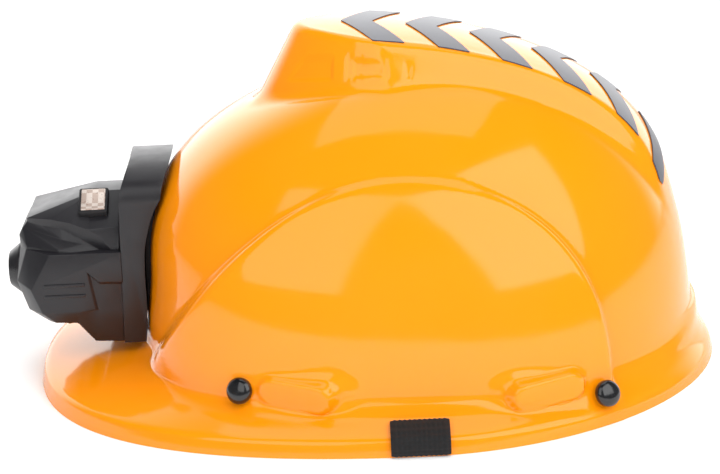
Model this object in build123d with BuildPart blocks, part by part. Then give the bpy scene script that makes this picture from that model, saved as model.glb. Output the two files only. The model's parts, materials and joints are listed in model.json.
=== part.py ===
from build123d import *
from math import atan2, cos, degrees, pi, radians, sin, sqrt, tan
import os

# Miner helmet with a clip-on cap lamp: shell, harness, studs, webbing loops and lamp, millimetres.

os.makedirs("parts", exist_ok=True)

# Frame: +Z up, front of the helmet towards -Y, symmetric about X = 0, rim of the brim on Z = 0,
# Y = 0 halfway between the tip of the lamp and the back of the brim.

# General sizes
overrun = 4.0
running_gap = 0.05
seat_gap = 0.1

# Shell sizes
wall = 2.5
brim_half_width = 126.0
brim_front = 146.5
brim_rear = 157.5
brim_middle = 22.0
brim_front_fullness_share = 0.66
brim_rear_fullness_share = 0.53
lip_height = 8.0
lip_draft = 1.0
lip_round = 2.5
gutter_top = 22.0
gutter_top_half_width = 95.0
gutter_top_front = 70.0
gutter_top_rear = 149.0
dome_height = 140.0
dome_half_width = 107.5
dome_front = 98.5
dome_rear = 150.0
dome_front_fullness_share = 0.66
dome_rear_fullness_share = 0.56

# Dome stations: height, half width, front reach, rear reach and middle, as shares of
# dome_height, dome_half_width, dome_front, dome_rear and brim_middle.
dome_station_shares = [
    (0.08, 1.000, 1.000, 1.000, 1.30),
    (0.40, 0.930, 0.960, 0.962, 1.16),
    (0.62, 0.810, 0.880, 0.890, 1.02),
    (0.80, 0.620, 0.620, 0.760, 1.00),
    (0.92, 0.420, 0.240, 0.588, 1.08),
    (1.00, 0.230, -0.080, 0.370, 1.30),
]

# Arched side panel: its outline on the side view and how far it stands off the dome.
panel_front = 94.0
panel_rear = 103.0
panel_foot = 15.0
panel_top = 103.0
panel_crest = 17.0
panel_proud = 1.8
panel_squarer_share = 0.10
panel_round = 1.6

# Ridge along the crown: crest line on the side view, section across it, and its pointed nose.
ridge_start = 70.0
ridge_end = 142.0
ridge_half_width = 31.0
ridge_crown = 2.0
ridge_depth = 26.0
ridge_lean = 26.0
ridge_edge_round = 3.0
crown_height = 153.8
crest_reach_shares = [-0.45, 0.00, 0.16, 0.36, 0.555, 0.74, 0.88, 0.965, 1.00]
crest_height_shares = [0.998, 1.000, 0.986, 0.953, 0.896, 0.815, 0.700, 0.560, 0.400]
crown_drop_shares = [1.0, 1.0, 1.0, 1.1, 1.3, 1.6, 2.2, 3.2, 4.5]
nose_base_height = 45.0
nose_top_height = 166.0
nose_tip_at_base = 85.0
nose_draft = 29.0
nose_half_width = 68.0
nose_length = 86.0

# Slot pockets low on each side: place along the helmet, level, turn in plan and droop along it.
pocket_places = [(-28.0, 20.5, -22.0, -5.0), (73.5, 17.5, 19.0, 5.0)]
pocket_length = 32.0
pocket_height = 11.0
pocket_proud = 3.6
pocket_root = 9.0
pocket_draft = 20.0

# Studs: middle of the seat, turn in plan and tilt up.
stud_places = [(92.7, -50.6, 19.2, -25.0, 20.0), (95.1, 97.4, 11.2, 26.0, 24.0)]
stud_pad_diameter = 9.0
stud_pad_depth = 9.0
stud_shank_diameter = 4.6
stud_shank_hold = 7.4
stud_reach = 3.2
stud_collar_diameter = 7.6
stud_collar_height = 2.0
stud_head_diameter = 11.2
stud_head_height = 3.8
stud_head_rim = 1.4
stud_socket_depth = 2.6

# Webbing loop round the brim on each side.
webbing_width = 25.0
webbing_thickness = 1.7
webbing_place = 24.5
webbing_bar_edge = 112.0
webbing_gap = 0.3
rim_notch_depth = 2.4
gutter_sag_share = 0.83

# Reflective chevron films on the ridge.
film_gap = 0.16
film_thickness = 0.40
film_half_width = 30.0
film_nose_margin = 1.2
chevron_count = 6
chevron_first = -4.1
chevron_pitch = 28.3
chevron_length = 13.5
chevron_sweep = 13.5
chevron_grip = 8.0

# Lamp back plate: an arch in front view, its rear follows the dome.
lamp_split = 106.0
lamp_plate_rear = 88.0
lamp_plate_half_width = 30.5
lamp_plate_foot = 20.3
lamp_plate_shoulder = 84.0
lamp_plate_top = 99.0
lamp_dome_gap = 0.3
gasket_thickness = 2.8

# Bracket: curved foot on the dome with a T shaped rail.
bracket_half_width = 15.0
bracket_bottom = 34.0
bracket_top = 80.0
rail_neck_half_width = 7.0
rail_half_width = 12.0
rail_neck_front = 100.8
rail_front = 103.4
rail_gap = 0.1
bracket_screw_levels = [44.0, 70.0]
bracket_screw_diameter = 4.0
bracket_screw_head_diameter = 7.6
bracket_screw_head_height = 2.4
bracket_nut_width = 7.0
bracket_nut_height = 3.0
bracket_nut_fronts = [90.2, 86.2]
bracket_nut_pad_diameter = 10.0

# Lamp front housing: side view, front view and plan of its faceted body.
lamp_side_outline = [
    (-141.0, 19.4),
    (-145.4, 24.7),
    (-150.5, 36.0),
    (-153.0, 57.0),
    (-152.4, 63.4),
    (-149.8, 70.5),
    (-141.4, 84.6),
    (-136.7, 86.2),
    (-115.9, 90.0),
]
lamp_back_top = 88.5
lamp_back_foot = 19.8
lamp_front_outline = [(9.5, 91.0), (27.0, 76.5), (31.0, 62.5), (31.0, 32.0), (24.0, 19.0)]
lamp_plan_outline = [(31.0, -138.0), (20.0, -154.0)]
lamp_wall = 2.2

# Lamp opening with its bezel, lens, reflector, emitter and board.
lens_level = 48.0
bezel_diameter = 31.0
bezel_front = 158.0
bezel_back = 151.6
bezel_bore = 23.0
bezel_neck_diameter = 28.4
bezel_neck_back = 147.0
lens_diameter = 26.0
lens_front = 155.4
lens_back = 153.4
lens_crown = 1.2
reflector_mouth = 25.4
reflector_throat = 9.0
reflector_back = 132.0
reflector_wall = 1.0
board_half_width = 20.0
board_height = 44.0
board_front = 131.8
board_thickness = 1.6
emitter_width = 5.0
emitter_height = 1.4
emitter_dome = 3.4

# Cell, case screws and case seal.
cell_half_width = 15.0
cell_thickness = 10.0
cell_height = 42.0
cell_middle = 50.0
case_screw_places = [(23.2, 27.5), (26.0, 62.0)]
case_screw_diameter = 3.0
case_screw_head_diameter = 5.4
case_screw_head_height = 2.0
case_screw_seat = 102.6
case_screw_length = 12.0
case_boss_diameter = 6.6
case_boss_length = 14.0
seal_width = 1.0
seal_depth = 1.0

# Push button on the upper side facet of the lamp.
button_place = 116.0
button_down_share = 0.57
button_length = 13.0
button_width = 14.0
button_proud = 3.4
button_gap = 0.25
button_flange = 0.9
button_flange_thickness = 1.2
button_travel = 1.3
button_corner = 1.6
switch_width = 6.0
switch_height = 2.6
switch_shelf_thickness = 1.6

# Headband: straight sides between two half rounds.
band_radius = 76.0
band_front_middle = -4.0
band_rear_middle = 44.0
band_thickness = 1.6
band_bottom = 14.0
band_height = 28.0
band_end_turn = 26.0
brow_pad_thickness = 4.0
brow_pad_margin = 2.0
brow_pad_turn = 62.0
brow_pad_crown = 1.2

# Hanger keys and the two crossing crown straps.
key_tongue_length = 25.0
key_tongue_height = 5.6
key_tongue_depth = 16.0
key_block_width = 22.0
key_block_depth = 4.2
key_block_bottom = 10.6
key_block_top = 27.0
key_shelf_width = 13.0
key_shelf_thickness = 3.2
key_shelf_tip = 81.0
strap_reach = 98.0
strap_key_x = 84.0
strap_width = 20.0
strap_thickness = 1.2
strap_foot = 14.6
strap_crown_height = 104.0
strap_lift = 1.75
strap_side_share = 0.62
strap_top_share = 0.60

# Nape ratchet: case, cover, tails with racks, pinion and knob.
nape_half_width = 31.0
nape_front = 110.5
nape_split = 118.0
nape_rear = 127.0
nape_bottom = 12.6
nape_top = 41.4
nape_corner = 3.5
ratchet_level = 27.0
tail_gap = 0.12
tail_thickness = 1.8
tail_inner_turn = 14.0
tail_outer_turn = 44.0
tail_pull_turn = 8.0
rack_root = 6.0
rack_tip = 4.6
rack_back = 10.6
pinion_teeth = 10
pinion_tip_radius = 5.8
pinion_root_radius = 4.4
pinion_tooth_width = 1.3
pinion_front = 119.4
pinion_back = 122.4
ratchet_shaft_diameter = 6.0
ratchet_shaft_end = 134.0
knob_radius = 16.0
knob_front = 127.3
knob_back = 139.0
knob_flutes = 18
knob_flute_radius = 2.2
knob_screw_diameter = 2.6
knob_screw_head_diameter = 5.6
knob_screw_head_height = 1.8
knob_screw_hold = 8.0
keeper_turn = 33.0
keeper_length = 5.0
keeper_wall = 1.2


def egg(half_width, front, rear, middle, front_fullness, rear_fullness):
    """Egg outline about the Y axis, blunt at the front: four curves that share their tangents."""
    front_pull = middle - front_fullness * (front + middle)
    rear_pull = middle + rear_fullness * (rear - middle)
    Bezier(
        (0, -front),
        (front_fullness * half_width, -front),
        (half_width, front_pull),
        (half_width, middle),
    )
    Bezier(
        (half_width, middle),
        (half_width, rear_pull),
        (rear_fullness * half_width, rear),
        (0, rear),
    )
    mirror(about=Plane.YZ)


def dome_form(inset, squarer=0.0, proud=0.0):
    """Solid dome, drawn in by inset; squarer and proud swell its shoulders.

    The inside of the shell is hidden by the harness, so drawn-in forms are ruled between stations.
    """
    with BuildPart() as form:
        for height, width, front, rear, middle in dome_station_shares:
            with BuildSketch(Plane.XY.offset(height * (dome_height - inset))):
                with BuildLine():
                    egg(
                        width * dome_half_width - inset + proud,
                        front * dome_front - inset + proud,
                        rear * dome_rear - inset + proud,
                        middle * brim_middle,
                        dome_front_fullness_share + squarer,
                        dome_rear_fullness_share + squarer,
                    )
                make_face()
        loft(ruled=inset > 0)
    return form.part


def brim_form(inset):
    """Brim with its upright lip and the gutter that runs up to the dome, drawn in by inset."""
    bevelled = lip_draft + lip_round
    levels = [
        (0.0, brim_half_width, brim_front, brim_rear),
        (
            lip_height - lip_round,
            brim_half_width - lip_draft,
            brim_front - lip_draft,
            brim_rear - lip_draft,
        ),
        (lip_height, brim_half_width - bevelled, brim_front - bevelled, brim_rear - bevelled),
        (gutter_top, gutter_top_half_width, gutter_top_front, gutter_top_rear),
    ]
    with BuildPart() as form:
        for height, half_width, front, rear in levels:
            drop = inset if height else 0
            with BuildSketch(Plane.XY.offset(height - drop)):
                with BuildLine():
                    egg(
                        half_width - inset,
                        front - inset,
                        rear - inset,
                        brim_middle,
                        brim_front_fullness_share,
                        brim_rear_fullness_share,
                    )
                make_face()
        loft(ruled=True)
    return form.part


def arch_line(inset):
    """Outline of the side panel on the side view, drawn in by inset."""
    front = -(panel_front - inset)
    rear = panel_rear - inset
    top = panel_top - inset
    crest = panel_crest
    Line((rear, panel_foot), (front, panel_foot))
    Bezier(
        (front, panel_foot),
        (front + 0.16 * (crest - front), panel_foot + 0.47 * (top - panel_foot)),
        (front + 0.52 * (crest - front), top),
        (crest, top),
    )
    Bezier(
        (crest, top),
        (crest + 0.55 * (rear - crest), top),
        (rear, panel_foot + 0.67 * (top - panel_foot)),
        (rear, panel_foot),
    )


def panel_form(inset):
    """Both side panels: a squarer dome cut to the arch outline."""
    swollen = dome_form(inset, panel_squarer_share, panel_proud)
    with BuildPart() as form:
        with BuildSketch(Plane.YZ):
            with BuildLine():
                arch_line(inset)
            make_face()
        extrude(amount=brim_half_width, both=True)
        add(swollen, mode=Mode.INTERSECT)
    return form.part


def crest_line(inset):
    """Crest of the ridge on the side view, from ahead of its nose to its tail."""
    points = [
        (reach * ridge_end, height * (crown_height - inset))
        for reach, height in zip(crest_reach_shares, crest_height_shares)
    ]
    with BuildLine(Plane.YZ) as crest:
        Spline(*points)
    return crest.line


def ridge_form(inset):
    """Ridge: crowned sections lofted square to the crest line, trimmed to a pointed nose."""
    crest = crest_line(inset)
    half_top = ridge_half_width - inset
    half_foot = half_top + ridge_depth * tan(radians(ridge_lean))
    count = len(crown_drop_shares)
    with BuildPart() as form:
        for index, drop_share in enumerate(crown_drop_shares):
            station = index / (count - 1)
            drop = drop_share * ridge_crown
            plane = Plane(origin=crest @ station, x_dir=(-1, 0, 0), z_dir=crest % station)
            with BuildSketch(plane):
                with BuildLine():
                    ThreePointArc((-half_top, -drop), (0, 0), (half_top, -drop))
                    Polyline(
                        (half_top, -drop),
                        (half_foot, -ridge_depth - drop),
                        (-half_foot, -ridge_depth - drop),
                        (-half_top, -drop),
                    )
                make_face()
        loft()
        nose = nose_form(inset)
        add(nose, mode=Mode.INTERSECT)
    return form.part


def nose_form(inset):
    """Pointed plan of the nose with its slanted faces, long enough to hold the whole ridge."""
    with BuildPart() as form:
        for height in (nose_base_height, nose_top_height):
            shrink = inset + (height - nose_base_height) * tan(radians(nose_draft))
            tip = -(nose_tip_at_base - shrink)
            half_width = nose_half_width - 0.5 * shrink
            with BuildSketch(Plane.XY.offset(height)):
                with BuildLine():
                    Bezier(
                        (0, tip),
                        (0.50 * half_width, tip),
                        (half_width, tip + 0.45 * nose_length),
                        (half_width, tip + nose_length),
                    )
                    Line((half_width, tip + nose_length), (half_width, ridge_end + overrun))
                    Line((half_width, ridge_end + overrun), (0, ridge_end + overrun))
                    mirror(about=Plane.YZ)
                make_face()
        loft(ruled=True)
    return form.part



def form_half_width(y, height, squarer=0.0, proud=0.0):
    """Half width of the dome at a place along it and a height, read off its egg outline."""
    level = height / dome_height
    for low, high in zip(dome_station_shares, dome_station_shares[1:]):
        if level <= high[0]:
            break
    part = (level - low[0]) / (high[0] - low[0])
    share = [a + part * (b - a) for a, b in zip(low, high)]
    half_width = share[1] * dome_half_width + proud
    front = share[2] * dome_front + proud
    rear = share[3] * dome_rear + proud
    middle = share[4] * brim_middle
    reach = rear - middle if y > middle else front + middle
    fullness = dome_rear_fullness_share if y > middle else dome_front_fullness_share
    pull = fullness + squarer
    near, far = 0.0, 1.0
    for _ in range(30):
        t = (near + far) / 2
        along = reach * (3 * t * (1 - t) ** 2 * pull + 3 * t**2 * (1 - t) + t**3)
        near, far = (t, far) if along < abs(y - middle) else (near, t)
    return half_width * ((1 - t) ** 3 + 3 * t * (1 - t) ** 2 + 3 * t**2 * (1 - t) * pull)


def outward_plane(x, y, height, turn, tilt=0.0):
    """Plane on the right side of the helmet that faces outwards, turned in plan and tilted up."""
    a = radians(turn)
    b = radians(tilt)
    return Plane(
        origin=(x, y, height),
        x_dir=(-sin(a), cos(a), 0),
        z_dir=(cos(a) * cos(b), sin(a) * cos(b), sin(b)),
    )


def pocket_plane(y, height, turn, droop):
    """Face of the side panel behind a slot pocket."""
    x = form_half_width(y, height, panel_squarer_share, panel_proud)
    return outward_plane(x, y, height, turn).rotated((0, 0, droop))


def pocket_form(inset):
    """Pill shaped bosses with drafted sides; with an inset, the hollows behind them."""
    foot_grow = 2 * (pocket_root + pocket_proud) * tan(radians(pocket_draft))
    with BuildPart() as form:
        for place in pocket_places:
            with BuildSketch(pocket_plane(*place).offset(-pocket_root)):
                SlotOverall(
                    pocket_length + foot_grow - 2 * inset,
                    pocket_height + foot_grow - 2 * inset,
                )
            extrude(amount=pocket_root + pocket_proud - inset, taper=pocket_draft)
        mirror(about=Plane.YZ)
    return form.part


def brim_slope_height(x):
    """Height of the gutter at the middle of the side, between the lip and the dome."""
    lip_x = brim_half_width - lip_draft - lip_round
    slope = gutter_sag_share * (gutter_top - lip_height) / (lip_x - gutter_top_half_width)
    return lip_height + (lip_x - x) * slope


def webbing_bar_outline():
    """Section of the brim between its webbing slot and its lip, with the rim cut up by the notch."""
    lip_x = brim_half_width - lip_draft - lip_round
    top = brim_slope_height(webbing_bar_edge)
    under = brim_slope_height(webbing_bar_edge + wall) - wall
    notch_x = brim_half_width - lip_draft * rim_notch_depth / (lip_height - lip_round)
    return [
        (webbing_bar_edge, top),
        (lip_x, lip_height),
        (brim_half_width - lip_draft, lip_height - lip_round),
        (notch_x, rim_notch_depth),
        (brim_half_width - lip_draft - wall, rim_notch_depth),
        (webbing_bar_edge, under),
    ]


def webbing_ring(grow):
    """Section of the loop at a distance from the brim bar."""
    Polygon(*webbing_bar_outline(), align=None)
    offset(amount=grow, kind=Kind.ARC)


# Shell of the helmet, moulded in one piece.
outer_dome = dome_form(0)
inner_dome = dome_form(wall)
outer_brim = brim_form(0)
inner_brim = brim_form(wall)
outer_panels = panel_form(0)
inner_panels = panel_form(wall)
outer_ridge = ridge_form(0)
inner_ridge = ridge_form(wall)
outer_pockets = pocket_form(0)
inner_pockets = pocket_form(wall)

webbing_slot_width = webbing_width + 2 * webbing_gap
webbing_slot_depth = webbing_thickness + 2 * webbing_gap

with BuildPart() as nut_pad_form:
    for level, nut_front in zip(bracket_screw_levels, bracket_nut_fronts):
        with BuildSketch(Plane.XZ.offset(nut_front)):
            with Locations((0, level)):
                Circle(bracket_nut_pad_diameter / 2)
        extrude(amount=dome_front - nut_front)
    add(outer_dome, mode=Mode.INTERSECT)
nut_pads = nut_pad_form.part

with BuildPart() as shell:
    add(outer_dome)
    add(outer_brim)
    add(outer_panels)
    add(outer_ridge)
    add(outer_pockets)
    add(inner_dome, mode=Mode.SUBTRACT)
    add(inner_brim, mode=Mode.SUBTRACT)
    add(inner_panels, mode=Mode.SUBTRACT)
    add(inner_ridge, mode=Mode.SUBTRACT)
    add(inner_pockets, mode=Mode.SUBTRACT)

    # Pads with blind holes for the studs.
    for seat_x, seat_y, seat_height, turn, tilt in stud_places:
        for side in (1, -1):
            seat = outward_plane(seat_x, seat_y, seat_height, turn, tilt)
            if side < 0:
                seat = Plane(
                    origin=(-seat.origin.X, seat.origin.Y, seat.origin.Z),
                    x_dir=(-seat.x_dir.X, seat.x_dir.Y, seat.x_dir.Z),
                    z_dir=(-seat.z_dir.X, seat.z_dir.Y, seat.z_dir.Z),
                )
            with BuildSketch(seat):
                Circle(stud_pad_diameter / 2)
            extrude(amount=-stud_pad_depth)
            with BuildSketch(seat):
                Circle(stud_shank_diameter / 2 + running_gap)
            extrude(amount=-(stud_shank_hold + seat_gap), mode=Mode.SUBTRACT)
            with BuildSketch(seat):
                Circle(stud_head_diameter / 2 + webbing_gap)
            extrude(amount=stud_reach + stud_pad_depth, mode=Mode.SUBTRACT)

    # Slots for the webbing loops and relief notches in the rim below them.
    for side in (1, -1):
        slot_x = side * (webbing_bar_edge - webbing_slot_depth / 2)
        with Locations((slot_x, webbing_place, brim_slope_height(webbing_bar_edge))):
            Box(webbing_slot_depth, webbing_slot_width, 2 * wall + overrun, mode=Mode.SUBTRACT)
        with Locations((side * brim_half_width, webbing_place, 0)):
            Box(
                4 * wall,
                webbing_slot_width,
                2 * rim_notch_depth,
                mode=Mode.SUBTRACT,
            )

    # Flat pads for the bracket nuts and holes for the two screws.
    add(nut_pads)
    with BuildSketch(Plane.XZ.offset(rail_front)):
        for level in bracket_screw_levels:
            with Locations((0, level)):
                Circle(bracket_screw_diameter / 2 + running_gap)
    extrude(amount=-dome_front / 2, mode=Mode.SUBTRACT)

shell.part.label = "shell"
export_step(shell.part, "parts/shell.step")


# Webbing loops, one on each side.
def webbing_loop_part(side):
    """Closed ring of webbing through the slot and round the rim."""
    with BuildPart() as loop:
        with BuildSketch(Plane.XZ.offset(-(webbing_place + webbing_width / 2))):
            webbing_ring(webbing_gap + webbing_thickness)
            with BuildSketch(mode=Mode.SUBTRACT):
                webbing_ring(webbing_gap)
        extrude(amount=webbing_width)
    return loop.part if side > 0 else mirror(loop.part, about=Plane.YZ)


with BuildPart() as webbing_loop_right:
    add(webbing_loop_part(1))

webbing_loop_right.part.label = "webbing_loop_right"
export_step(webbing_loop_right.part, "parts/webbing_loop_right.step")

with BuildPart() as webbing_loop_left:
    add(webbing_loop_part(-1))

webbing_loop_left.part.label = "webbing_loop_left"
export_step(webbing_loop_left.part, "parts/webbing_loop_left.step")


# Studs beside the slot pockets: screws with moulded caps.
with BuildPart() as stud_screws:
    for seat_x, seat_y, seat_height, turn, tilt in stud_places:
        seat = outward_plane(seat_x, seat_y, seat_height, turn, tilt)
        length = stud_shank_hold + stud_reach + stud_collar_height + stud_socket_depth
        with BuildSketch(seat.offset(-stud_shank_hold)):
            Circle(stud_shank_diameter / 2)
        extrude(amount=length - seat_gap)
    mirror(about=Plane.YZ)

stud_screws.part.label = "stud_screws"
export_step(stud_screws.part, "parts/stud_screws.step")

with BuildPart() as stud_caps:
    for seat_x, seat_y, seat_height, turn, tilt in stud_places:
        seat = outward_plane(seat_x, seat_y, seat_height, turn, tilt)
        collar_foot = seat.offset(stud_reach)
        half_section = Plane(collar_foot.origin, x_dir=seat.x_dir, z_dir=-seat.y_dir)
        top = stud_collar_height + stud_head_height
        shoulder = stud_collar_height + stud_head_rim
        with BuildSketch(half_section):
            with BuildLine():
                Polyline(
                    (0, top),
                    (0, stud_collar_height + stud_socket_depth),
                    (stud_shank_diameter / 2 + running_gap, stud_collar_height + stud_socket_depth),
                    (stud_shank_diameter / 2 + running_gap, 0),
                    (stud_collar_diameter / 2, 0),
                    (stud_collar_diameter / 2, stud_collar_height),
                    (stud_head_diameter / 2, stud_collar_height),
                    (stud_head_diameter / 2, shoulder),
                )
                Bezier(
                    (stud_head_diameter / 2, shoulder),
                    (0.42 * stud_head_diameter, top),
                    (0, top),
                )
            make_face()
        revolve(axis=Axis(collar_foot.origin, seat.z_dir))
    mirror(about=Plane.YZ)

stud_caps.part.label = "stud_caps"
export_step(stud_caps.part, "parts/stud_caps.step")


# Reflective films on the ridge, swept back to both sides.
def crown_strip(low, high, half_width):
    """Strip that follows the crown of the ridge between two heights above it."""
    crest = crest_line(0)
    count = len(crown_drop_shares)
    with BuildPart() as strip:
        for index, drop_share in enumerate(crown_drop_shares):
            station = index / (count - 1)
            drop = drop_share * ridge_crown
            crown_radius = (ridge_half_width**2 + drop**2) / (2 * drop)
            edge = crown_radius - sqrt(crown_radius**2 - half_width**2)
            plane = Plane(origin=crest @ station, x_dir=(-1, 0, 0), z_dir=crest % station)
            with BuildSketch(plane):
                with BuildLine():
                    ThreePointArc((-half_width, low - edge), (0, low), (half_width, low - edge))
                    Line((half_width, low - edge), (half_width, high - edge))
                    ThreePointArc((half_width, high - edge), (0, high), (-half_width, high - edge))
                    Line((-half_width, high - edge), (-half_width, low - edge))
                make_face()
        loft()
    return strip.part


def chevron_prisms():
    """Swept back bands square to the crest, one pitch apart."""
    crest = crest_line(0).edge()
    ahead = -crest_reach_shares[0] * ridge_end
    with BuildPart() as prisms:
        for index in range(chevron_count):
            reach = ahead + chevron_first + index * chevron_pitch + chevron_length / 2
            at = crest.position_at(reach, position_mode=PositionMode.LENGTH)
            along = crest.tangent_at(reach, position_mode=PositionMode.LENGTH)
            plane = Plane(origin=at, x_dir=(1, 0, 0), z_dir=Vector(1, 0, 0).cross(along))
            half = chevron_length / 2
            wide = film_half_width + overrun
            swept = chevron_sweep * wide / film_half_width
            with BuildSketch(plane):
                Polygon(
                    (0, -half),
                    (wide, swept - half),
                    (wide, swept + half),
                    (0, half),
                    (-wide, swept + half),
                    (-wide, swept - half),
                    align=None,
                )
            extrude(amount=chevron_grip, both=True)
    return prisms.part


film_nose = nose_form(film_nose_margin)

with BuildPart() as ridge_chevrons:
    add(crown_strip(film_gap, film_gap + film_thickness, film_half_width))
    add(chevron_prisms(), mode=Mode.INTERSECT)
    add(film_nose, mode=Mode.INTERSECT)

ridge_chevrons.part.label = "ridge_chevrons"
export_step(ridge_chevrons.part, "parts/ridge_chevrons.step")


# Lamp: arch shaped back plate, its gasket and the bracket on the dome.
def lamp_arch(inset):
    """Front view of the lamp back plate."""
    half = lamp_plate_half_width - inset
    foot = lamp_plate_foot + inset
    top = lamp_plate_top - inset
    shoulder = lamp_plate_shoulder
    rise = top - shoulder
    Line((0, foot), (half, foot))
    Line((half, foot), (half, shoulder))
    Bezier((half, shoulder), (half, shoulder + 0.66 * rise), (0.62 * half, top), (0, top))
    mirror(about=Plane.YZ)


def lamp_arch_form(inset, start, end):
    """Arch prism between two distances ahead of the middle."""
    with BuildPart() as form:
        with BuildSketch(Plane.XZ.offset(start)):
            with BuildLine():
                lamp_arch(inset)
            make_face()
        extrude(amount=end - start)
    return form.part


def slab(half_width, bottom, top, start, end, corner=0.0):
    """Upright slab facing forwards between two distances ahead of the middle."""
    with BuildPart() as form:
        with BuildSketch(Plane.XZ.offset(start)):
            with Locations((0, (bottom + top) / 2)):
                if corner:
                    RectangleRounded(2 * half_width, top - bottom, corner)
                else:
                    Rectangle(2 * half_width, top - bottom)
        extrude(amount=end - start)
    return form.part


dome_skin = dome_form(-lamp_dome_gap)
gasket_skin = dome_form(-(lamp_dome_gap + gasket_thickness))
plate_skin = dome_form(-(2 * lamp_dome_gap + gasket_thickness))
gasket_rear = dome_front / 2

with BuildPart() as lamp_gasket:
    add(lamp_arch_form(wall, gasket_rear, lamp_split))
    add(gasket_skin, mode=Mode.INTERSECT)
    add(dome_skin, mode=Mode.SUBTRACT)
    add(
        slab(
            bracket_half_width + lamp_dome_gap,
            bracket_bottom - lamp_dome_gap,
            bracket_top + lamp_dome_gap,
            gasket_rear,
            lamp_split,
            lamp_wall,
        ),
        mode=Mode.SUBTRACT,
    )

lamp_gasket.part.label = "lamp_gasket"
export_step(lamp_gasket.part, "parts/lamp_gasket.step")

with BuildPart() as lamp_bracket:
    add(
        slab(
            bracket_half_width,
            bracket_bottom,
            bracket_top,
            gasket_rear,
            lamp_split,
            lamp_wall,
        )
    )
    add(gasket_skin, mode=Mode.INTERSECT)
    add(slab(rail_neck_half_width, bracket_bottom, bracket_top, gasket_rear, rail_neck_front))
    add(slab(rail_half_width, bracket_bottom, bracket_top, rail_neck_front, rail_front))
    add(dome_skin, mode=Mode.SUBTRACT)
    with BuildSketch(Plane.XZ.offset(rail_front)):
        for level in bracket_screw_levels:
            with Locations((0, level)):
                Circle(bracket_screw_head_diameter / 2 + running_gap)
    extrude(amount=-(bracket_screw_head_height + seat_gap), mode=Mode.SUBTRACT)
    with BuildSketch(Plane.XZ.offset(rail_front)):
        for level in bracket_screw_levels:
            with Locations((0, level)):
                Circle(bracket_screw_diameter / 2 + running_gap)
    extrude(amount=-gasket_rear, mode=Mode.SUBTRACT)

lamp_bracket.part.label = "lamp_bracket"
export_step(lamp_bracket.part, "parts/lamp_bracket.step")

with BuildPart() as bracket_screws:
    with BuildSketch(Plane.XZ.offset(rail_front - seat_gap)):
        for level in bracket_screw_levels:
            with Locations((0, level)):
                Circle(bracket_screw_head_diameter / 2)
    extrude(amount=-bracket_screw_head_height)
    for level, nut_front in zip(bracket_screw_levels, bracket_nut_fronts):
        with BuildSketch(Plane.XZ.offset(rail_front - seat_gap)):
            with Locations((0, level)):
                Circle(bracket_screw_diameter / 2)
        extrude(amount=-(rail_front - nut_front + bracket_nut_height + 1.2))
    with BuildSketch(Plane.XZ.offset(rail_front - seat_gap)):
        for level in bracket_screw_levels:
            with Locations((0, level)):
                RegularPolygon(radius=1.5, side_count=6)
    extrude(amount=-1.4, mode=Mode.SUBTRACT)

bracket_screws.part.label = "bracket_screws"
export_step(bracket_screws.part, "parts/bracket_screws.step")

with BuildPart() as bracket_nuts:
    for level, nut_front in zip(bracket_screw_levels, bracket_nut_fronts):
        with BuildSketch(Plane.XZ.offset(nut_front)):
            with Locations((0, level)):
                RegularPolygon(radius=bracket_nut_width / 2, side_count=6, major_radius=False)
                Circle(bracket_screw_diameter / 2 + running_gap, mode=Mode.SUBTRACT)
        extrude(amount=-bracket_nut_height)

bracket_nuts.part.label = "bracket_nuts"
export_step(bracket_nuts.part, "parts/bracket_nuts.step")

with BuildPart() as lamp_rear_housing:
    add(lamp_arch_form(0, lamp_plate_rear, lamp_split))
    add(plate_skin, mode=Mode.SUBTRACT)
    # Slot for the rail, open at the foot.
    add(
        slab(
            bracket_half_width + 2 * rail_gap,
            lamp_plate_foot - overrun,
            bracket_top + running_gap,
            lamp_plate_rear,
            rail_neck_front - lamp_wall,
        ),
        mode=Mode.SUBTRACT,
    )
    add(
        slab(
            rail_neck_half_width + rail_gap,
            lamp_plate_foot - overrun,
            bracket_top + running_gap,
            lamp_plate_rear,
            rail_front,
        ),
        mode=Mode.SUBTRACT,
    )
    add(
        slab(
            rail_half_width + rail_gap,
            lamp_plate_foot - overrun,
            bracket_top + running_gap,
            rail_neck_front - rail_gap,
            rail_front + rail_gap,
        ),
        mode=Mode.SUBTRACT,
    )
    # Counterbored holes for the case screws.
    with BuildSketch(Plane.XZ.offset(lamp_split)):
        for place_x, level in case_screw_places:
            with Locations((place_x, level), (-place_x, level)):
                Circle(case_screw_diameter / 2 + running_gap)
    extrude(amount=-(lamp_split - lamp_plate_rear), mode=Mode.SUBTRACT)
    with BuildSketch(Plane.XZ.offset(case_screw_seat)):
        for place_x, level in case_screw_places:
            with Locations((place_x, level), (-place_x, level)):
                Circle(case_screw_head_diameter / 2 + running_gap)
    extrude(amount=-(case_screw_seat - lamp_plate_rear), mode=Mode.SUBTRACT)

lamp_rear_housing.part.label = "lamp_rear_housing"
export_step(lamp_rear_housing.part, "parts/lamp_rear_housing.step")


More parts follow.
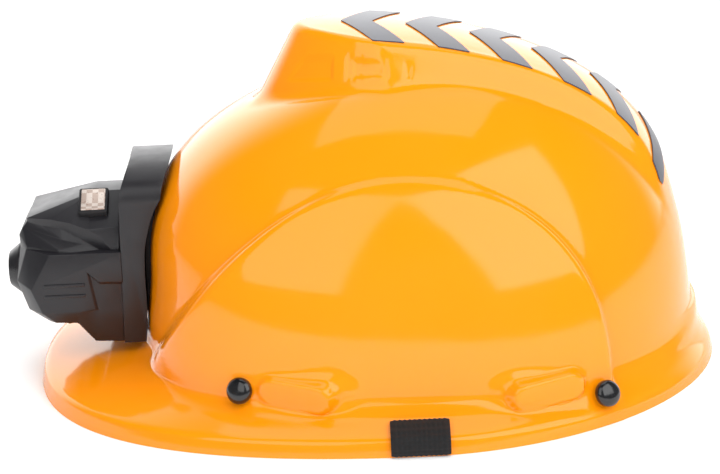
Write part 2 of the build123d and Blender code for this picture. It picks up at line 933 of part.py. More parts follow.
def lamp_body_form(inset):
    """Faceted body of the lamp: its side view, front view and plan cut into each other."""
    back = -(lamp_split - (overrun if inset else 0))
    side = [(back, lamp_back_foot), *lamp_side_outline, (back, lamp_back_top)]
    front = lamp_front_outline + [(-x, z) for x, z in reversed(lamp_front_outline)]
    plan = [(lamp_plan_outline[0][0], back), *lamp_plan_outline]
    plan = plan + [(-x, y) for x, y in reversed(plan)]
    with BuildPart() as form:
        with BuildSketch(Plane.YZ):
            Polygon(*side, align=None)
            offset(amount=-inset, kind=Kind.INTERSECTION)
        extrude(amount=lamp_plate_half_width + overrun, both=True)
        with BuildSketch(Plane.XZ.offset(lamp_plate_rear)):
            Polygon(*front, align=None)
            offset(amount=-inset, kind=Kind.INTERSECTION)
        extrude(amount=bezel_front - lamp_plate_rear, mode=Mode.INTERSECT)
        with BuildSketch(Plane.XY):
            Polygon(*plan, align=None)
            offset(amount=-inset, kind=Kind.INTERSECTION)
        extrude(amount=lamp_plate_top, mode=Mode.INTERSECT)
    return form.part


def lens_ring(outer, inner, start, end):
    """Ring about the axis of the lens between two distances ahead of the middle."""
    with BuildPart() as form:
        with BuildSketch(Plane.XZ.offset(start)):
            with Locations((0, lens_level)):
                Circle(outer / 2)
                if inner:
                    Circle(inner / 2, mode=Mode.SUBTRACT)
        extrude(amount=end - start)
    return form.part


def button_plane():
    """Seat of the push button on the upper facet of the lamp, square to it."""
    (x_near, z_near), (x_far, z_far) = lamp_front_outline[:2]
    down = button_down_share
    middle = (x_near + down * (x_far - x_near), -button_place, z_near + down * (z_far - z_near))
    along = Vector(x_far - x_near, 0, z_far - z_near).normalized()
    return Plane(origin=middle, x_dir=along, z_dir=along.cross(Vector(0, 1, 0)) * -1)


button_seat = button_plane()
if button_seat.z_dir.Z < 0:
    button_seat = Plane(button_seat.origin, x_dir=button_seat.x_dir, z_dir=-button_seat.z_dir)

button_room = lamp_wall + button_gap
switch_top = button_room + button_flange_thickness + button_travel + seat_gap
with BuildPart() as switch_shelf:
    with BuildSketch(button_seat.offset(-(switch_top + switch_height))):
        Rectangle(3 * button_width, switch_width + lamp_wall)
    extrude(amount=-switch_shelf_thickness)
    add(lamp_body_form(0), mode=Mode.INTERSECT)

with BuildPart() as lamp_front_housing:
    add(lamp_body_form(0))
    add(lens_ring(bezel_diameter + 2 * seat_gap, 0, bezel_back, bezel_front), mode=Mode.SUBTRACT)
    add(lens_ring(bezel_neck_diameter + 4 * running_gap + 2 * lamp_wall, 0, reflector_back, bezel_back))
    add(lamp_body_form(lamp_wall), mode=Mode.SUBTRACT)
    add(
        lens_ring(bezel_neck_diameter + 2 * running_gap, 0, reflector_back - overrun, bezel_front),
        mode=Mode.SUBTRACT,
    )
    add(switch_shelf.part)
    # Corner bosses for the case screws.
    with BuildSketch(Plane.XZ.offset(lamp_split)):
        for place_x, level in case_screw_places:
            with Locations((place_x, level), (-place_x, level)):
                Circle(case_boss_diameter / 2)
    extrude(amount=case_boss_length)
    with BuildSketch(Plane.XZ.offset(lamp_split)):
        for place_x, level in case_screw_places:
            with Locations((place_x, level), (-place_x, level)):
                Circle(case_screw_diameter / 2 + running_gap)
    extrude(amount=case_screw_length, mode=Mode.SUBTRACT)
    # Opening for the button.
    with BuildSketch(button_seat.offset(overrun)):
        RectangleRounded(
            button_width + 2 * button_gap,
            button_length + 2 * button_gap,
            button_corner + button_gap,
        )
    extrude(amount=-(overrun + lamp_wall + button_gap), mode=Mode.SUBTRACT)

lamp_front_housing.part.label = "lamp_front_housing"
export_step(lamp_front_housing.part, "parts/lamp_front_housing.step")

with BuildPart() as lamp_bezel:
    add(lens_ring(bezel_diameter, bezel_bore, bezel_back, bezel_front))
    add(lens_ring(bezel_neck_diameter, lens_diameter + 2 * seat_gap, bezel_neck_back, bezel_back))
    add(lens_ring(lens_diameter + 2 * seat_gap, 0, bezel_neck_back, lens_front), mode=Mode.SUBTRACT)
    chamfer(edges().filter_by(GeomType.CIRCLE).sort_by(Axis.Y)[0:2], 1.2)

lamp_bezel.part.label = "lamp_bezel"
export_step(lamp_bezel.part, "parts/lamp_bezel.step")

with BuildPart() as lamp_lens:
    add(lens_ring(lens_diameter, 0, lens_back, lens_front - seat_gap))

lamp_lens.part.label = "lamp_lens"
export_step(lamp_lens.part, "parts/lamp_lens.step")

with BuildPart() as lamp_reflector:
    with BuildSketch(Plane.YZ):
        with BuildLine():
            Polyline(
                (-(lens_back - seat_gap), lens_level + reflector_mouth / 2),
                (-(lens_back - seat_gap), lens_level + reflector_mouth / 2 - reflector_wall),
                (-reflector_back - reflector_wall, lens_level + reflector_throat / 2),
                (-reflector_back, lens_level + reflector_throat / 2),
                (-reflector_back, lens_level + reflector_throat / 2 + reflector_wall),
                (-(lens_back - seat_gap), lens_level + reflector_mouth / 2),
            )
        make_face()
    revolve(axis=Axis((0, 0, lens_level), (0, 1, 0)))

lamp_reflector.part.label = "lamp_reflector"
export_step(lamp_reflector.part, "parts/lamp_reflector.step")

board_rear = board_front - board_thickness
with BuildPart() as lamp_board:
    add(
        slab(
            board_half_width,
            lens_level - board_height / 2,
            lens_level + board_height / 2,
            board_rear,
            board_front,
            lamp_wall,
        )
    )

lamp_board.part.label = "lamp_board"
export_step(lamp_board.part, "parts/lamp_board.step")

with BuildPart() as lamp_emitter:
    add(
        slab(
            emitter_width / 2,
            lens_level - emitter_width / 2,
            lens_level + emitter_width / 2,
            board_front,
            board_front + emitter_height,
        )
    )
    add(lens_ring(emitter_dome, 0, board_front, board_front + 2 * emitter_height))

lamp_emitter.part.label = "lamp_emitter"
export_step(lamp_emitter.part, "parts/lamp_emitter.step")

with BuildPart() as lamp_cell:
    add(
        slab(
            cell_half_width,
            cell_middle - cell_height / 2,
            cell_middle + cell_height / 2,
            lamp_split + seat_gap,
            lamp_split + seat_gap + cell_thickness,
            lamp_wall,
        )
    )

lamp_cell.part.label = "lamp_cell"
export_step(lamp_cell.part, "parts/lamp_cell.step")

with BuildPart() as case_screws:
    for place_x, level in case_screw_places:
        for side_x in (place_x, -place_x):
            with BuildSketch(Plane.XZ.offset(case_screw_seat)):
                with Locations((side_x, level)):
                    Circle(case_screw_head_diameter / 2)
            extrude(amount=-case_screw_head_height)
            with BuildSketch(Plane.XZ.offset(case_screw_seat)):
                with Locations((side_x, level)):
                    Circle(case_screw_diameter / 2)
            extrude(amount=case_screw_length)

case_screws.part.label = "case_screws"
export_step(case_screws.part, "parts/case_screws.step")

# Push button with its flange, and the switch below it.
with BuildPart() as lamp_button:
    with BuildSketch(button_seat.offset(-button_room)):
        RectangleRounded(button_width, button_length, button_corner)
    extrude(amount=button_room + button_proud)
    with BuildSketch(button_seat.offset(-button_room)):
        RectangleRounded(
            button_width + 2 * button_flange, button_length + 2 * button_flange, button_corner
        )
    extrude(amount=-button_flange_thickness)

lamp_button.part.label = "lamp_button"
export_step(lamp_button.part, "parts/lamp_button.step")

with BuildPart() as button_switch:
    with BuildSketch(button_seat.offset(-switch_top)):
        Rectangle(switch_width, switch_width)
    extrude(amount=-switch_height)

button_switch.part.label = "button_switch"
export_step(button_switch.part, "parts/button_switch.step")


# Headband with its ends open at the nape.
def band_ring(inner, outer, bottom, height):
    """Closed ring with straight sides and half round ends."""
    with BuildPart() as ring:
        with BuildSketch(Plane.XY.offset(bottom)):
            for radius, mode in ((outer, Mode.ADD), (inner, Mode.SUBTRACT)):
                with Locations((0, band_front_middle), (0, band_rear_middle)):
                    Circle(radius, mode=mode)
                with Locations((0, (band_front_middle + band_rear_middle) / 2)):
                    Rectangle(2 * radius, band_rear_middle - band_front_middle, mode=mode)
        extrude(amount=height)
    return ring.part


def nape_sector(inner, outer, start_turn, end_turn, bottom, height):
    """Part of a ring about the middle of the nape curve; turns run from the rear to the left."""
    with BuildPart() as sector:
        with BuildSketch(Plane.XY.offset(bottom)):
            with BuildLine():
                points = {}
                for name, radius in (("inner", inner), ("outer", outer)):
                    for turn in (start_turn, (start_turn + end_turn) / 2, end_turn):
                        a = radians(turn)
                        points[name, turn] = (-radius * sin(a), band_rear_middle + radius * cos(a))
                middle_turn = (start_turn + end_turn) / 2
                ThreePointArc(
                    points["inner", start_turn],
                    points["inner", middle_turn],
                    points["inner", end_turn],
                )
                Line(points["inner", end_turn], points["outer", end_turn])
                ThreePointArc(
                    points["outer", end_turn],
                    points["outer", middle_turn],
                    points["outer", start_turn],
                )
                Line(points["outer", start_turn], points["inner", start_turn])
            make_face()
        extrude(amount=height)
    return sector.part


def rack_band(side, back):
    """Level of the bottom and the height of one rack strip; the left one lies above the pinion."""
    if side > 0:
        return ratchet_level + rack_tip, back - rack_tip
    return ratchet_level - back, back - rack_tip


tail_inner = band_radius + tail_gap
tail_outer = tail_inner + tail_thickness

with BuildPart() as headband:
    add(band_ring(band_radius - band_thickness, band_radius, band_bottom, band_height))
    add(
        nape_sector(
            band_radius - wall - overrun,
            band_radius + overrun,
            -band_end_turn,
            band_end_turn,
            band_bottom - overrun,
            band_height + 2 * overrun,
        ),
        mode=Mode.SUBTRACT,
    )
    # Keepers that guide the tails on the outside of the band.
    keeper_half_turn = degrees(keeper_length / band_radius) / 2
    for side in (1, -1):
        start, end = keeper_turn - keeper_half_turn, keeper_turn + keeper_half_turn
        if side < 0:
            start, end = -end, -start
        bottom, height = rack_band(side, rack_back)
        add(
            nape_sector(
                band_radius - running_gap,
                tail_outer + tail_gap + keeper_wall,
                start,
                end,
                bottom - tail_gap - keeper_wall,
                height + 2 * (tail_gap + keeper_wall),
            )
        )
        add(
            nape_sector(
                band_radius,
                tail_outer + tail_gap,
                start - 1,
                end + 1,
                bottom - tail_gap,
                height + 2 * tail_gap,
            ),
            mode=Mode.SUBTRACT,
        )

headband.part.label = "headband"
export_step(headband.part, "parts/headband.step")


def tail_part(side):
    """Curved tail with rack teeth that face the pinion."""
    turns = (-tail_inner_turn, tail_outer_turn)
    if side < 0:
        turns = (-tail_outer_turn, tail_inner_turn)
    bottom, height = rack_band(side, rack_back)
    tooth_pitch = degrees(2 * pi * pinion_pitch_radius / pinion_teeth / tail_middle)
    count = int(2 * (tail_inner_turn + tail_pull_turn) / tooth_pitch / 2)
    with BuildPart() as tail:
        add(nape_sector(tail_inner, tail_outer, *turns, bottom, height))
        gap_height = rack_root - rack_tip
        foot = ratchet_level + rack_tip if side > 0 else ratchet_level - rack_root
        half_gap = degrees((2 * pi * pinion_pitch_radius / pinion_teeth - pinion_tooth_width) / tail_middle) / 2
        for index in range(-count, count + 1):
            at = index * tooth_pitch
            add(
                nape_sector(
                    tail_inner - running_gap,
                    tail_outer + running_gap,
                    at - half_gap,
                    at + half_gap,
                    foot - (overrun if side > 0 else 0),
                    gap_height + overrun,
                ),
                mode=Mode.SUBTRACT,
            )
    return tail.part


pinion_pitch_radius = (pinion_tip_radius + rack_tip) / 2
tail_middle = (tail_inner + tail_outer) / 2

with BuildPart() as tail_left:
    add(tail_part(1))

tail_left.part.label = "tail_left"
export_step(tail_left.part, "parts/tail_left.step")

with BuildPart() as tail_right:
    add(tail_part(-1))

tail_right.part.label = "tail_right"
export_step(tail_right.part, "parts/tail_right.step")


# Nape case and cover round the racks.
def nape_block(front, rear):
    """Block with rounded upright edges across the nape."""
    with BuildPart() as block:
        with BuildSketch(Plane.XZ.offset(-rear)):
            with Locations((0, (nape_bottom + nape_top) / 2)):
                RectangleRounded(2 * nape_half_width, nape_top - nape_bottom, nape_corner)
        extrude(amount=rear - front)
    return block.part


def nape_hollow():
    """Room for the tails, the pinion and its shaft."""
    reach = rack_back + tail_gap
    with BuildPart() as hollow:
        add(
            nape_sector(
                tail_inner - tail_gap,
                tail_outer + tail_gap,
                -band_end_turn,
                band_end_turn,
                ratchet_level - reach,
                2 * reach,
            )
        )
        with BuildSketch(Plane.XZ.offset(-(pinion_front - tail_gap))):
            with Locations((0, ratchet_level)):
                Circle(pinion_tip_radius + tail_gap)
        extrude(amount=-(pinion_back - pinion_front + 2 * tail_gap))
        with BuildSketch(Plane.XZ.offset(-(pinion_back - tail_gap))):
            with Locations((0, ratchet_level)):
                Circle(ratchet_shaft_diameter / 2 + running_gap)
        extrude(amount=-(nape_rear - pinion_back + overrun))
    return hollow.part


with BuildPart() as nape_case:
    add(nape_block(nape_front, nape_split))
    add(nape_hollow(), mode=Mode.SUBTRACT)

nape_case.part.label = "nape_case"
export_step(nape_case.part, "parts/nape_case.step")

with BuildPart() as nape_cover:
    add(nape_block(nape_split, nape_rear))
    add(nape_hollow(), mode=Mode.SUBTRACT)

nape_cover.part.label = "nape_cover"
export_step(nape_cover.part, "parts/nape_cover.step")

with BuildPart() as ratchet_pinion:
    with BuildSketch(Plane.XZ.offset(-pinion_front)):
        with Locations((0, ratchet_level)):
            Circle(pinion_root_radius)
            with PolarLocations(0, pinion_teeth, start_angle=90):
                with Locations((pinion_tip_radius / 2, 0)):
                    Rectangle(pinion_tip_radius, pinion_tooth_width)
    extrude(amount=-(pinion_back - pinion_front))
    with BuildSketch(Plane.XZ.offset(-pinion_back)):
        with Locations((0, ratchet_level)):
            Circle(ratchet_shaft_diameter / 2)
    extrude(amount=-(ratchet_shaft_end - pinion_back))
    with BuildSketch(Plane.XZ.offset(-ratchet_shaft_end)):
        with Locations((0, ratchet_level)):
            Circle(knob_screw_diameter / 2 + running_gap)
    extrude(amount=knob_screw_hold, mode=Mode.SUBTRACT)

ratchet_pinion.part.label = "ratchet_pinion"
export_step(ratchet_pinion.part, "parts/ratchet_pinion.step")

knob_screw_seat = knob_back - knob_screw_head_height - seat_gap
with BuildPart() as ratchet_knob:
    with BuildSketch(Plane.XZ.offset(-knob_front)):
        with Locations((0, ratchet_level)):
            Circle(knob_radius)
            with PolarLocations(knob_radius + knob_flute_radius / 2, knob_flutes):
                Circle(knob_flute_radius, mode=Mode.SUBTRACT)
    extrude(amount=-(knob_back - knob_front))
    chamfer(faces().sort_by(Axis.Y)[-1].edges(), 0.8)
    with BuildSketch(Plane.XZ.offset(-knob_front)):
        with Locations((0, ratchet_level)):
            Circle(ratchet_shaft_diameter / 2 + running_gap)
    extrude(amount=-(ratchet_shaft_end + seat_gap - knob_front), mode=Mode.SUBTRACT)
    with BuildSketch(Plane.XZ.offset(-ratchet_shaft_end)):
        with Locations((0, ratchet_level)):
            Circle(knob_screw_diameter / 2 + running_gap)
    extrude(amount=-(knob_back - ratchet_shaft_end), mode=Mode.SUBTRACT)
    with BuildSketch(Plane.XZ.offset(-knob_screw_seat)):
        with Locations((0, ratchet_level)):
            Circle(knob_screw_head_diameter / 2 + running_gap)
    extrude(amount=-(knob_back - knob_screw_seat), mode=Mode.SUBTRACT)

ratchet_knob.part.label = "ratchet_knob"
export_step(ratchet_knob.part, "parts/ratchet_knob.step")

with BuildPart() as knob_screw:
    with BuildSketch(Plane.XZ.offset(-knob_screw_seat)):
        with Locations((0, ratchet_level)):
            Circle(knob_screw_head_diameter / 2)
    extrude(amount=-knob_screw_head_height)
    with BuildSketch(Plane.XZ.offset(-knob_screw_seat)):
        with Locations((0, ratchet_level)):
            Circle(knob_screw_diameter / 2)
    extrude(amount=knob_screw_seat - ratchet_shaft_end + knob_screw_hold - seat_gap)

knob_screw.part.label = "knob_screw"
export_step(knob_screw.part, "parts/knob_screw.step")


# Sweat pad inside the brow of the headband.
with BuildPart() as brow_pad:
    pad_outer = band_radius - band_thickness
    pad_bottom = band_bottom + brow_pad_margin
    pad_top = band_bottom + band_height - brow_pad_margin
    pad_back = band_front_middle - pad_outer
    pad_front = pad_back + brow_pad_thickness
    pad_edge = pad_front - brow_pad_crown
    with BuildSketch(Plane.YZ):
        with BuildLine():
            Polyline(
                (pad_edge, pad_bottom), (pad_back, pad_bottom), (pad_back, pad_top), (pad_edge, pad_top)
            )
            ThreePointArc(
                (pad_edge, pad_top),
                (pad_front, (pad_top + pad_bottom) / 2),
                (pad_edge, pad_bottom),
            )
        make_face()
    revolve(axis=Axis((0, band_front_middle, 0), (0, 0, 1)), revolution_arc=brow_pad_turn)
    mirror(about=Plane.YZ)

brow_pad.part.label = "brow_pad"
export_step(brow_pad.part, "parts/brow_pad.step")


# Hanger keys in the four slot pockets and the two straps that cross over the head.
(front_y, front_level, _, _), (rear_y, rear_level, _, _) = pocket_places
strap_middle = (front_y + rear_y) / 2
strap_turn = degrees(atan2(rear_y - strap_middle, strap_key_x))


def strap_plane(side):
    """Upright plane through two opposite keys; side tells which diagonal."""
    a = radians(side * strap_turn)
    return Plane(
        origin=(0, strap_middle, 0),
        x_dir=(cos(a), sin(a), 0),
        z_dir=(sin(a), -cos(a), 0),
    )


def strap_part(side, lift):
    """Webbing arch from key to key."""
    rise = strap_crown_height + lift - strap_foot
    with BuildPart() as strap:
        with BuildSketch(strap_plane(side).offset(-strap_width / 2)):
            for grow, mode in ((0, Mode.ADD), (strap_thickness, Mode.SUBTRACT)):
                reach = strap_reach - grow
                top = strap_foot + rise - grow
                foot = strap_foot - (overrun if grow else 0)
                with BuildSketch(mode=mode):
                    with BuildLine():
                        Line((0, foot), (reach, foot))
                        Bezier(
                            (reach, foot),
                            (reach, foot + strap_side_share * (top - foot)),
                            (strap_top_share * reach, top),
                            (0, top),
                        )
                        mirror(about=Plane.YZ)
                    make_face()
        extrude(amount=strap_width)
    return strap.part


with BuildPart() as crown_strap_a:
    add(strap_part(1, 0))

crown_strap_a.part.label = "crown_strap_a"
export_step(crown_strap_a.part, "parts/crown_strap_a.step")

with BuildPart() as crown_strap_b:
    add(strap_part(-1, strap_lift))

crown_strap_b.part.label = "crown_strap_b"
export_step(crown_strap_b.part, "parts/crown_strap_b.step")

with BuildPart() as hanger_keys:
    for (y, level, turn, droop), side in zip(pocket_places, (-1, 1)):
        seat = pocket_plane(y, level, turn, droop)
        with BuildSketch(seat.offset(pocket_proud - wall - seat_gap)):
            RectangleRounded(key_tongue_length, key_tongue_height, 1.0)
        extrude(amount=-key_tongue_depth)
        with BuildSketch(strap_plane(side).offset(-key_block_width / 2)):
            with Locations((strap_reach + key_block_depth / 2, (key_block_bottom + key_block_top) / 2)):
                Rectangle(key_block_depth, key_block_top - key_block_bottom)
        extrude(amount=key_block_width)
        with BuildSketch(strap_plane(side).offset(-key_shelf_width / 2)):
            with Locations(((strap_reach + key_shelf_tip) / 2, key_block_bottom + key_shelf_thickness / 2)):
                Rectangle(strap_reach - key_shelf_tip, key_shelf_thickness)
        extrude(amount=key_shelf_width)
    mirror(about=Plane.YZ)

hanger_keys.part.label = "hanger_keys"
export_step(hanger_keys.part, "parts/hanger_keys.step")
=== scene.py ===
import json
import math

import bmesh
import bpy
import numpy as np
from mathutils import Matrix, Vector
from mathutils.bvhtree import BVHTree

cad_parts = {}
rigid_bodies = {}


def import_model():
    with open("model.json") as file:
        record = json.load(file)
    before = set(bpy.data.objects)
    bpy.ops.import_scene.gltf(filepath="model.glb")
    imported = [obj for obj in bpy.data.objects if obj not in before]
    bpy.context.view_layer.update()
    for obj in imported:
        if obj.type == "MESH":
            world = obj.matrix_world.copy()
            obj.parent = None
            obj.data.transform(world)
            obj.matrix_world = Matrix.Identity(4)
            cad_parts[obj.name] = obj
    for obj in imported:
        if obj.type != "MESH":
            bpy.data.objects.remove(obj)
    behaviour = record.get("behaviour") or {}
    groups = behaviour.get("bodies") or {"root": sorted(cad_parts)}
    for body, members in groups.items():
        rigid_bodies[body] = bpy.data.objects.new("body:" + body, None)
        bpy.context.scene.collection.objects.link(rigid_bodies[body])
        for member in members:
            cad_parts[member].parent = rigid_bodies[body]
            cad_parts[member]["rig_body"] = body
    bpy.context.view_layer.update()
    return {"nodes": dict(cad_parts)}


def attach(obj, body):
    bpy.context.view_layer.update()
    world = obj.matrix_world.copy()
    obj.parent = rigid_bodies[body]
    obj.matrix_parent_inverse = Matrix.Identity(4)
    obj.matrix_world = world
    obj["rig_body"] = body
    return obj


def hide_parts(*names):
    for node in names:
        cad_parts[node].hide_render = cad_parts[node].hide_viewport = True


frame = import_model()
nodes = frame["nodes"]
MM = 0.001
scene = bpy.context.scene

# Camera, in metres and degrees, with its focal length in pixels of the photo.
camera_place = (1.0, 0, 0.374)
camera_pitch = 17.715
camera_roll = 2.598
focal_pixels = 2330.8
photo_pixels = 720
sensor_width = 36.0


def aim_camera():
    """The right side of the helmet, seen along -X and from a little above."""
    pitch = math.radians(camera_pitch)
    roll = math.radians(camera_roll)
    forward = Vector((-math.cos(pitch), 0, -math.sin(pitch)))
    side = Vector((0, 1, 0))
    up = side.cross(forward)
    right = side * math.cos(roll) - up * math.sin(roll)
    up = up * math.cos(roll) + side * math.sin(roll)
    data = bpy.data.cameras.new("camera")
    data.sensor_width = sensor_width
    data.lens = focal_pixels / photo_pixels * sensor_width
    data.clip_start = 0.05
    data.clip_end = 20
    camera = bpy.data.objects.new("camera", data)
    turn = Matrix((right, up, -forward)).transposed().to_4x4()
    camera.matrix_world = Matrix.Translation(camera_place) @ turn
    scene.collection.objects.link(camera)
    scene.camera = camera


aim_camera()


# Materials, with pattern sizes in millimetres and colours as sRGB hex values.
def rgb(hex_text):
    """Linear colour of a hex colour."""
    values = [int(hex_text[i : i + 2], 16) / 255 for i in (1, 3, 5)]
    return [v / 12.92 if v <= 0.04045 else ((v + 0.055) / 1.055) ** 2.4 for v in values] + [1]


def add_node(tree, kind, inputs, **settings):
    """A node with its settings, and its inputs set to values or linked to outputs."""
    node = tree.nodes.new(kind)
    for key, value in settings.items():
        setattr(node, key, value)
    for key, value in inputs.items():
        socket = next(s for s in node.inputs if s.name == key and s.enabled)
        if isinstance(value, bpy.types.NodeSocket):
            tree.links.new(value, socket)
        else:
            socket.default_value = value
    return node


# The middle span of the noise, which runs from the least to the most roughness.
patch_low = 0.3
patch_high = 0.7
patch_detail = 3.0


def finish(name, color, roughness, worn=None, tones=None, grain=None, **sockets):
    """Finish with a wandering roughness, two wandering tones and a fine grain, where given.

    worn is (patch size, least roughness, most roughness), tones is (patch size, tone, tone)
    and grain is (grain size, depth, strength, detail)."""
    material = bpy.data.materials.new(name)
    material.use_nodes = True
    tree = material.node_tree
    skin = tree.nodes["Principled BSDF"].inputs
    skin["Base Color"].default_value = rgb(color)
    skin["Roughness"].default_value = roughness
    for key, value in sockets.items():
        skin[key.replace("_", " ")].default_value = value
    place = add_node(tree, "ShaderNodeTexCoord", {}).outputs["Object"]
    patches = {"Vector": place, "Detail": patch_detail, "Roughness": 0.55}
    if tones:
        size, first, second = tones
        noise = add_node(tree, "ShaderNodeTexNoise", {**patches, "Scale": 1 / (size * MM)})
        inputs = {"Factor": noise.outputs["Fac"], "A": rgb(first), "B": rgb(second)}
        mix = add_node(tree, "ShaderNodeMix", inputs, data_type="RGBA")
        tree.links.new(next(o for o in mix.outputs if o.enabled), skin["Base Color"])
    if worn:
        size, least, most = worn
        noise = add_node(tree, "ShaderNodeTexNoise", {**patches, "Scale": 1 / (size * MM)})
        inputs = {
            "Value": noise.outputs["Fac"], "From Min": patch_low, "From Max": patch_high,
            "To Min": least, "To Max": most,
        }
        span = add_node(tree, "ShaderNodeMapRange", inputs)
        tree.links.new(span.outputs["Result"], skin["Roughness"])
    if grain:
        size, depth, strength, detail = grain
        inputs = {**patches, "Scale": 1 / (size * MM), "Detail": detail}
        noise = add_node(tree, "ShaderNodeTexNoise", inputs)
        inputs = {"Height": noise.outputs["Fac"], "Distance": depth * MM, "Strength": strength}
        bump = add_node(tree, "ShaderNodeBump", inputs)
        tree.links.new(bump.outputs["Normal"], skin["Normal"])
    return material


def moulded(name, color, roughness, grain_size, grain_depth, **sockets):
    """Moulded plastic with a fine spark-eroded grain, a little shinier in patches."""
    worn = (9.0, roughness - 0.04, roughness + 0.05)
    grain = (grain_size, grain_depth, 0.5, 2.0)
    return finish(name, color, roughness, worn=worn, grain=grain, **sockets)


# Glossy orange ABS, moulded: a clear bright skin with a very slight ripple in its reflections.
shell_paint = finish(
    "shell_orange_abs", "#FF9407", 0.09, worn=(30.0, 0.07, 0.11), tones=(60.0, "#FF9205", "#FF970A"),
    grain=(14.0, 0.012, 0.35, 1.0), IOR=1.5,
)
# Satin charcoal ABS of the lamp: soft grey facets that show their edges.
lamp_plastic = moulded("lamp_charcoal_abs", "#1D1C20", 0.36, 0.5, 0.01, IOR=1.5)
# Smoother black plastic of the bezel and the small switch.
bezel_plastic = moulded("bezel_black", "#1B1A1D", 0.3, 0.6, 0.008)
# Matt black polyethylene of the headband, the nape adjuster and the bracket.
harness_plastic = moulded("harness_black_pe", "#1C1C1F", 0.5, 0.8, 0.02)
# Polished black nylon of the studs: small sharp highlights.
stud_plastic = finish(
    "stud_black_nylon", "#141518", 0.18, worn=(4.0, 0.14, 0.24), IOR=1.52, Coat_Weight=0.4,
    Coat_Roughness=0.08,
)
# Zinc plated steel of the screws: a pale metal with a faint turned grain.
zinc = finish(
    "zinc_plate", "#C9C6BF", 0.28, worn=(1.2, 0.2, 0.38), grain=(0.4, 0.01, 0.4, 3.0), Metallic=1.0
)
# Pressed rubber of the gasket and the button: dull black with a fine tooth.
rubber = finish("black_rubber", "#17171A", 0.62, worn=(3.0, 0.55, 0.7), grain=(0.6, 0.02, 0.6, 3.0))
# Woven nylon of the straps and loops: threads that catch a soft sheen.
webbing = finish("woven_nylon", "#0B0B0D", 0.75, Sheen_Weight=0.25, Sheen_Roughness=0.4)
# A wave repeats after 0.314 / scale metres, so this gives one thread each 1.6 mm, drawn
# coarser than the real one so that it shows.
thread_scale = 196
thread_depth = 0.15
weave = webbing.node_tree
threads = add_node(
    weave, "ShaderNodeTexWave",
    {
        "Vector": weave.nodes["Texture Coordinate"].outputs["Object"],
        "Scale": thread_scale,
        "Distortion": 0.4,
    },
    bands_direction="Z",
)
thread_relief = add_node(
    weave, "ShaderNodeBump",
    {"Height": threads.outputs["Fac"], "Distance": thread_depth * MM, "Strength": 0.8},
)
weave.links.new(thread_relief.outputs["Normal"], weave.nodes["Principled BSDF"].inputs["Normal"])
# Brushed sweat cloth over foam: dark and matt, with a soft edge.
foam = finish("sweat_cloth", "#1A1B1D", 0.85, grain=(1.2, 0.2, 0.7, 3.0), Sheen_Weight=0.3)
# Chevron film, black on the helmet, given a slate grey tone that paints in the sheen of light on its
# stripes: an even tone with a fine bead texture.
sheen_grey_film = finish(
    "reflective_film", "#3A3B45", 0.35, tones=(9.0, "#363741", "#40414C"), grain=(0.5, 0.01, 0.4, 3.0)
)
# Clear polycarbonate of the lens, moulded: glassy, with the bright reflector seen through it.
lens = finish(
    "lens_polycarbonate", "#F2F4F2", 0.05, worn=(5.0, 0.03, 0.08), Transmission_Weight=0.9, IOR=1.58
)
# Metallised plastic of the reflector: a bright bowl with slight haze.
mirror_coat = finish("reflector_metallised", "#E9E7E2", 0.12, worn=(3.0, 0.08, 0.18), Metallic=1.0)
# Green solder mask of the board, pale yellow phosphor of the emitter and grey shrink wrap of
# the cell, all hidden in the lamp.
board = moulded("circuit_board", "#0E4A2A", 0.45, 1.0, 0.01)
phosphor = moulded("emitter_phosphor", "#E8D26A", 0.5, 0.4, 0.01)
cell_wrap = moulded("cell_wrap", "#7B8088", 0.35, 1.5, 0.01)
# Silver print on the button's face: a plain chequer of two pale tones.
button_face = finish("button_silver_print", "#C9B4A6", 0.32, worn=(1.5, 0.25, 0.4), Metallic=0.35)
chequer_size = 2.6
face = button_face.node_tree
chequer = add_node(
    face, "ShaderNodeTexChecker",
    {
        "Vector": face.nodes["Texture Coordinate"].outputs["Object"],
        "Scale": 1 / (chequer_size * MM),
    },
)
face_tones = add_node(
    face, "ShaderNodeMix",
    {"Factor": chequer.outputs["Fac"], "A": rgb("#BBA79B"), "B": rgb("#D9CCC2")},
    data_type="RGBA",
)
face_tone = next(o for o in face_tones.outputs if o.enabled)
face.links.new(face_tone, face.nodes["Principled BSDF"].inputs["Base Color"])
# Matt white paper of the floor.
floor_paper = finish("floor_paper", "#FFFFFF", 0.9, worn=(40.0, 0.85, 0.95))

finish_of = {
    "shell": shell_paint,
    # The chevrons wear the black film painted slate grey, a painted sheen.
    "ridge_chevrons": sheen_grey_film,
    "stud_caps": stud_plastic,
    "stud_screws": zinc,
    "webbing_loop_right": webbing,
    "webbing_loop_left": webbing,
    "lamp_gasket": rubber,
    "bracket_screws": zinc,
    "bracket_nuts": zinc,
    "lamp_rear_housing": lamp_plastic,
    "lamp_front_housing": lamp_plastic,
    "lamp_bezel": bezel_plastic,
    "lamp_lens": lens,
    "lamp_reflector": mirror_coat,
    "lamp_board": board,
    "lamp_emitter": phosphor,
    "lamp_cell": cell_wrap,
    "case_screws": zinc,
    "lamp_button": rubber,
    "button_switch": bezel_plastic,
    "brow_pad": foam,
    "crown_strap_a": webbing,
    "crown_strap_b": webbing,
    "knob_screw": zinc,
}
for name, node in nodes.items():
    node.data.materials.clear()
    node.data.materials.append(finish_of.get(name, harness_plastic))


# Pieces from a bmesh: edges softened, faces smooth between the sharp edges.
# Least turns, in degrees, at which an edge of a new piece or of a CAD copy is softened.
least_facet_turn = 9
least_cad_turn = 20


def soften(work, width, least_angle):
    """Round the edges that turn by more than an angle, over a width in millimetres."""
    sharp = [
        e for e in work.edges if e.is_manifold and e.calc_face_angle() > math.radians(least_angle)
    ]
    bmesh.ops.bevel(
        work, geom=sharp, offset=width * MM, offset_type="OFFSET", affect="EDGES", segments=2,
        profile=0.5, clamp_overlap=True, material=-1,
    )


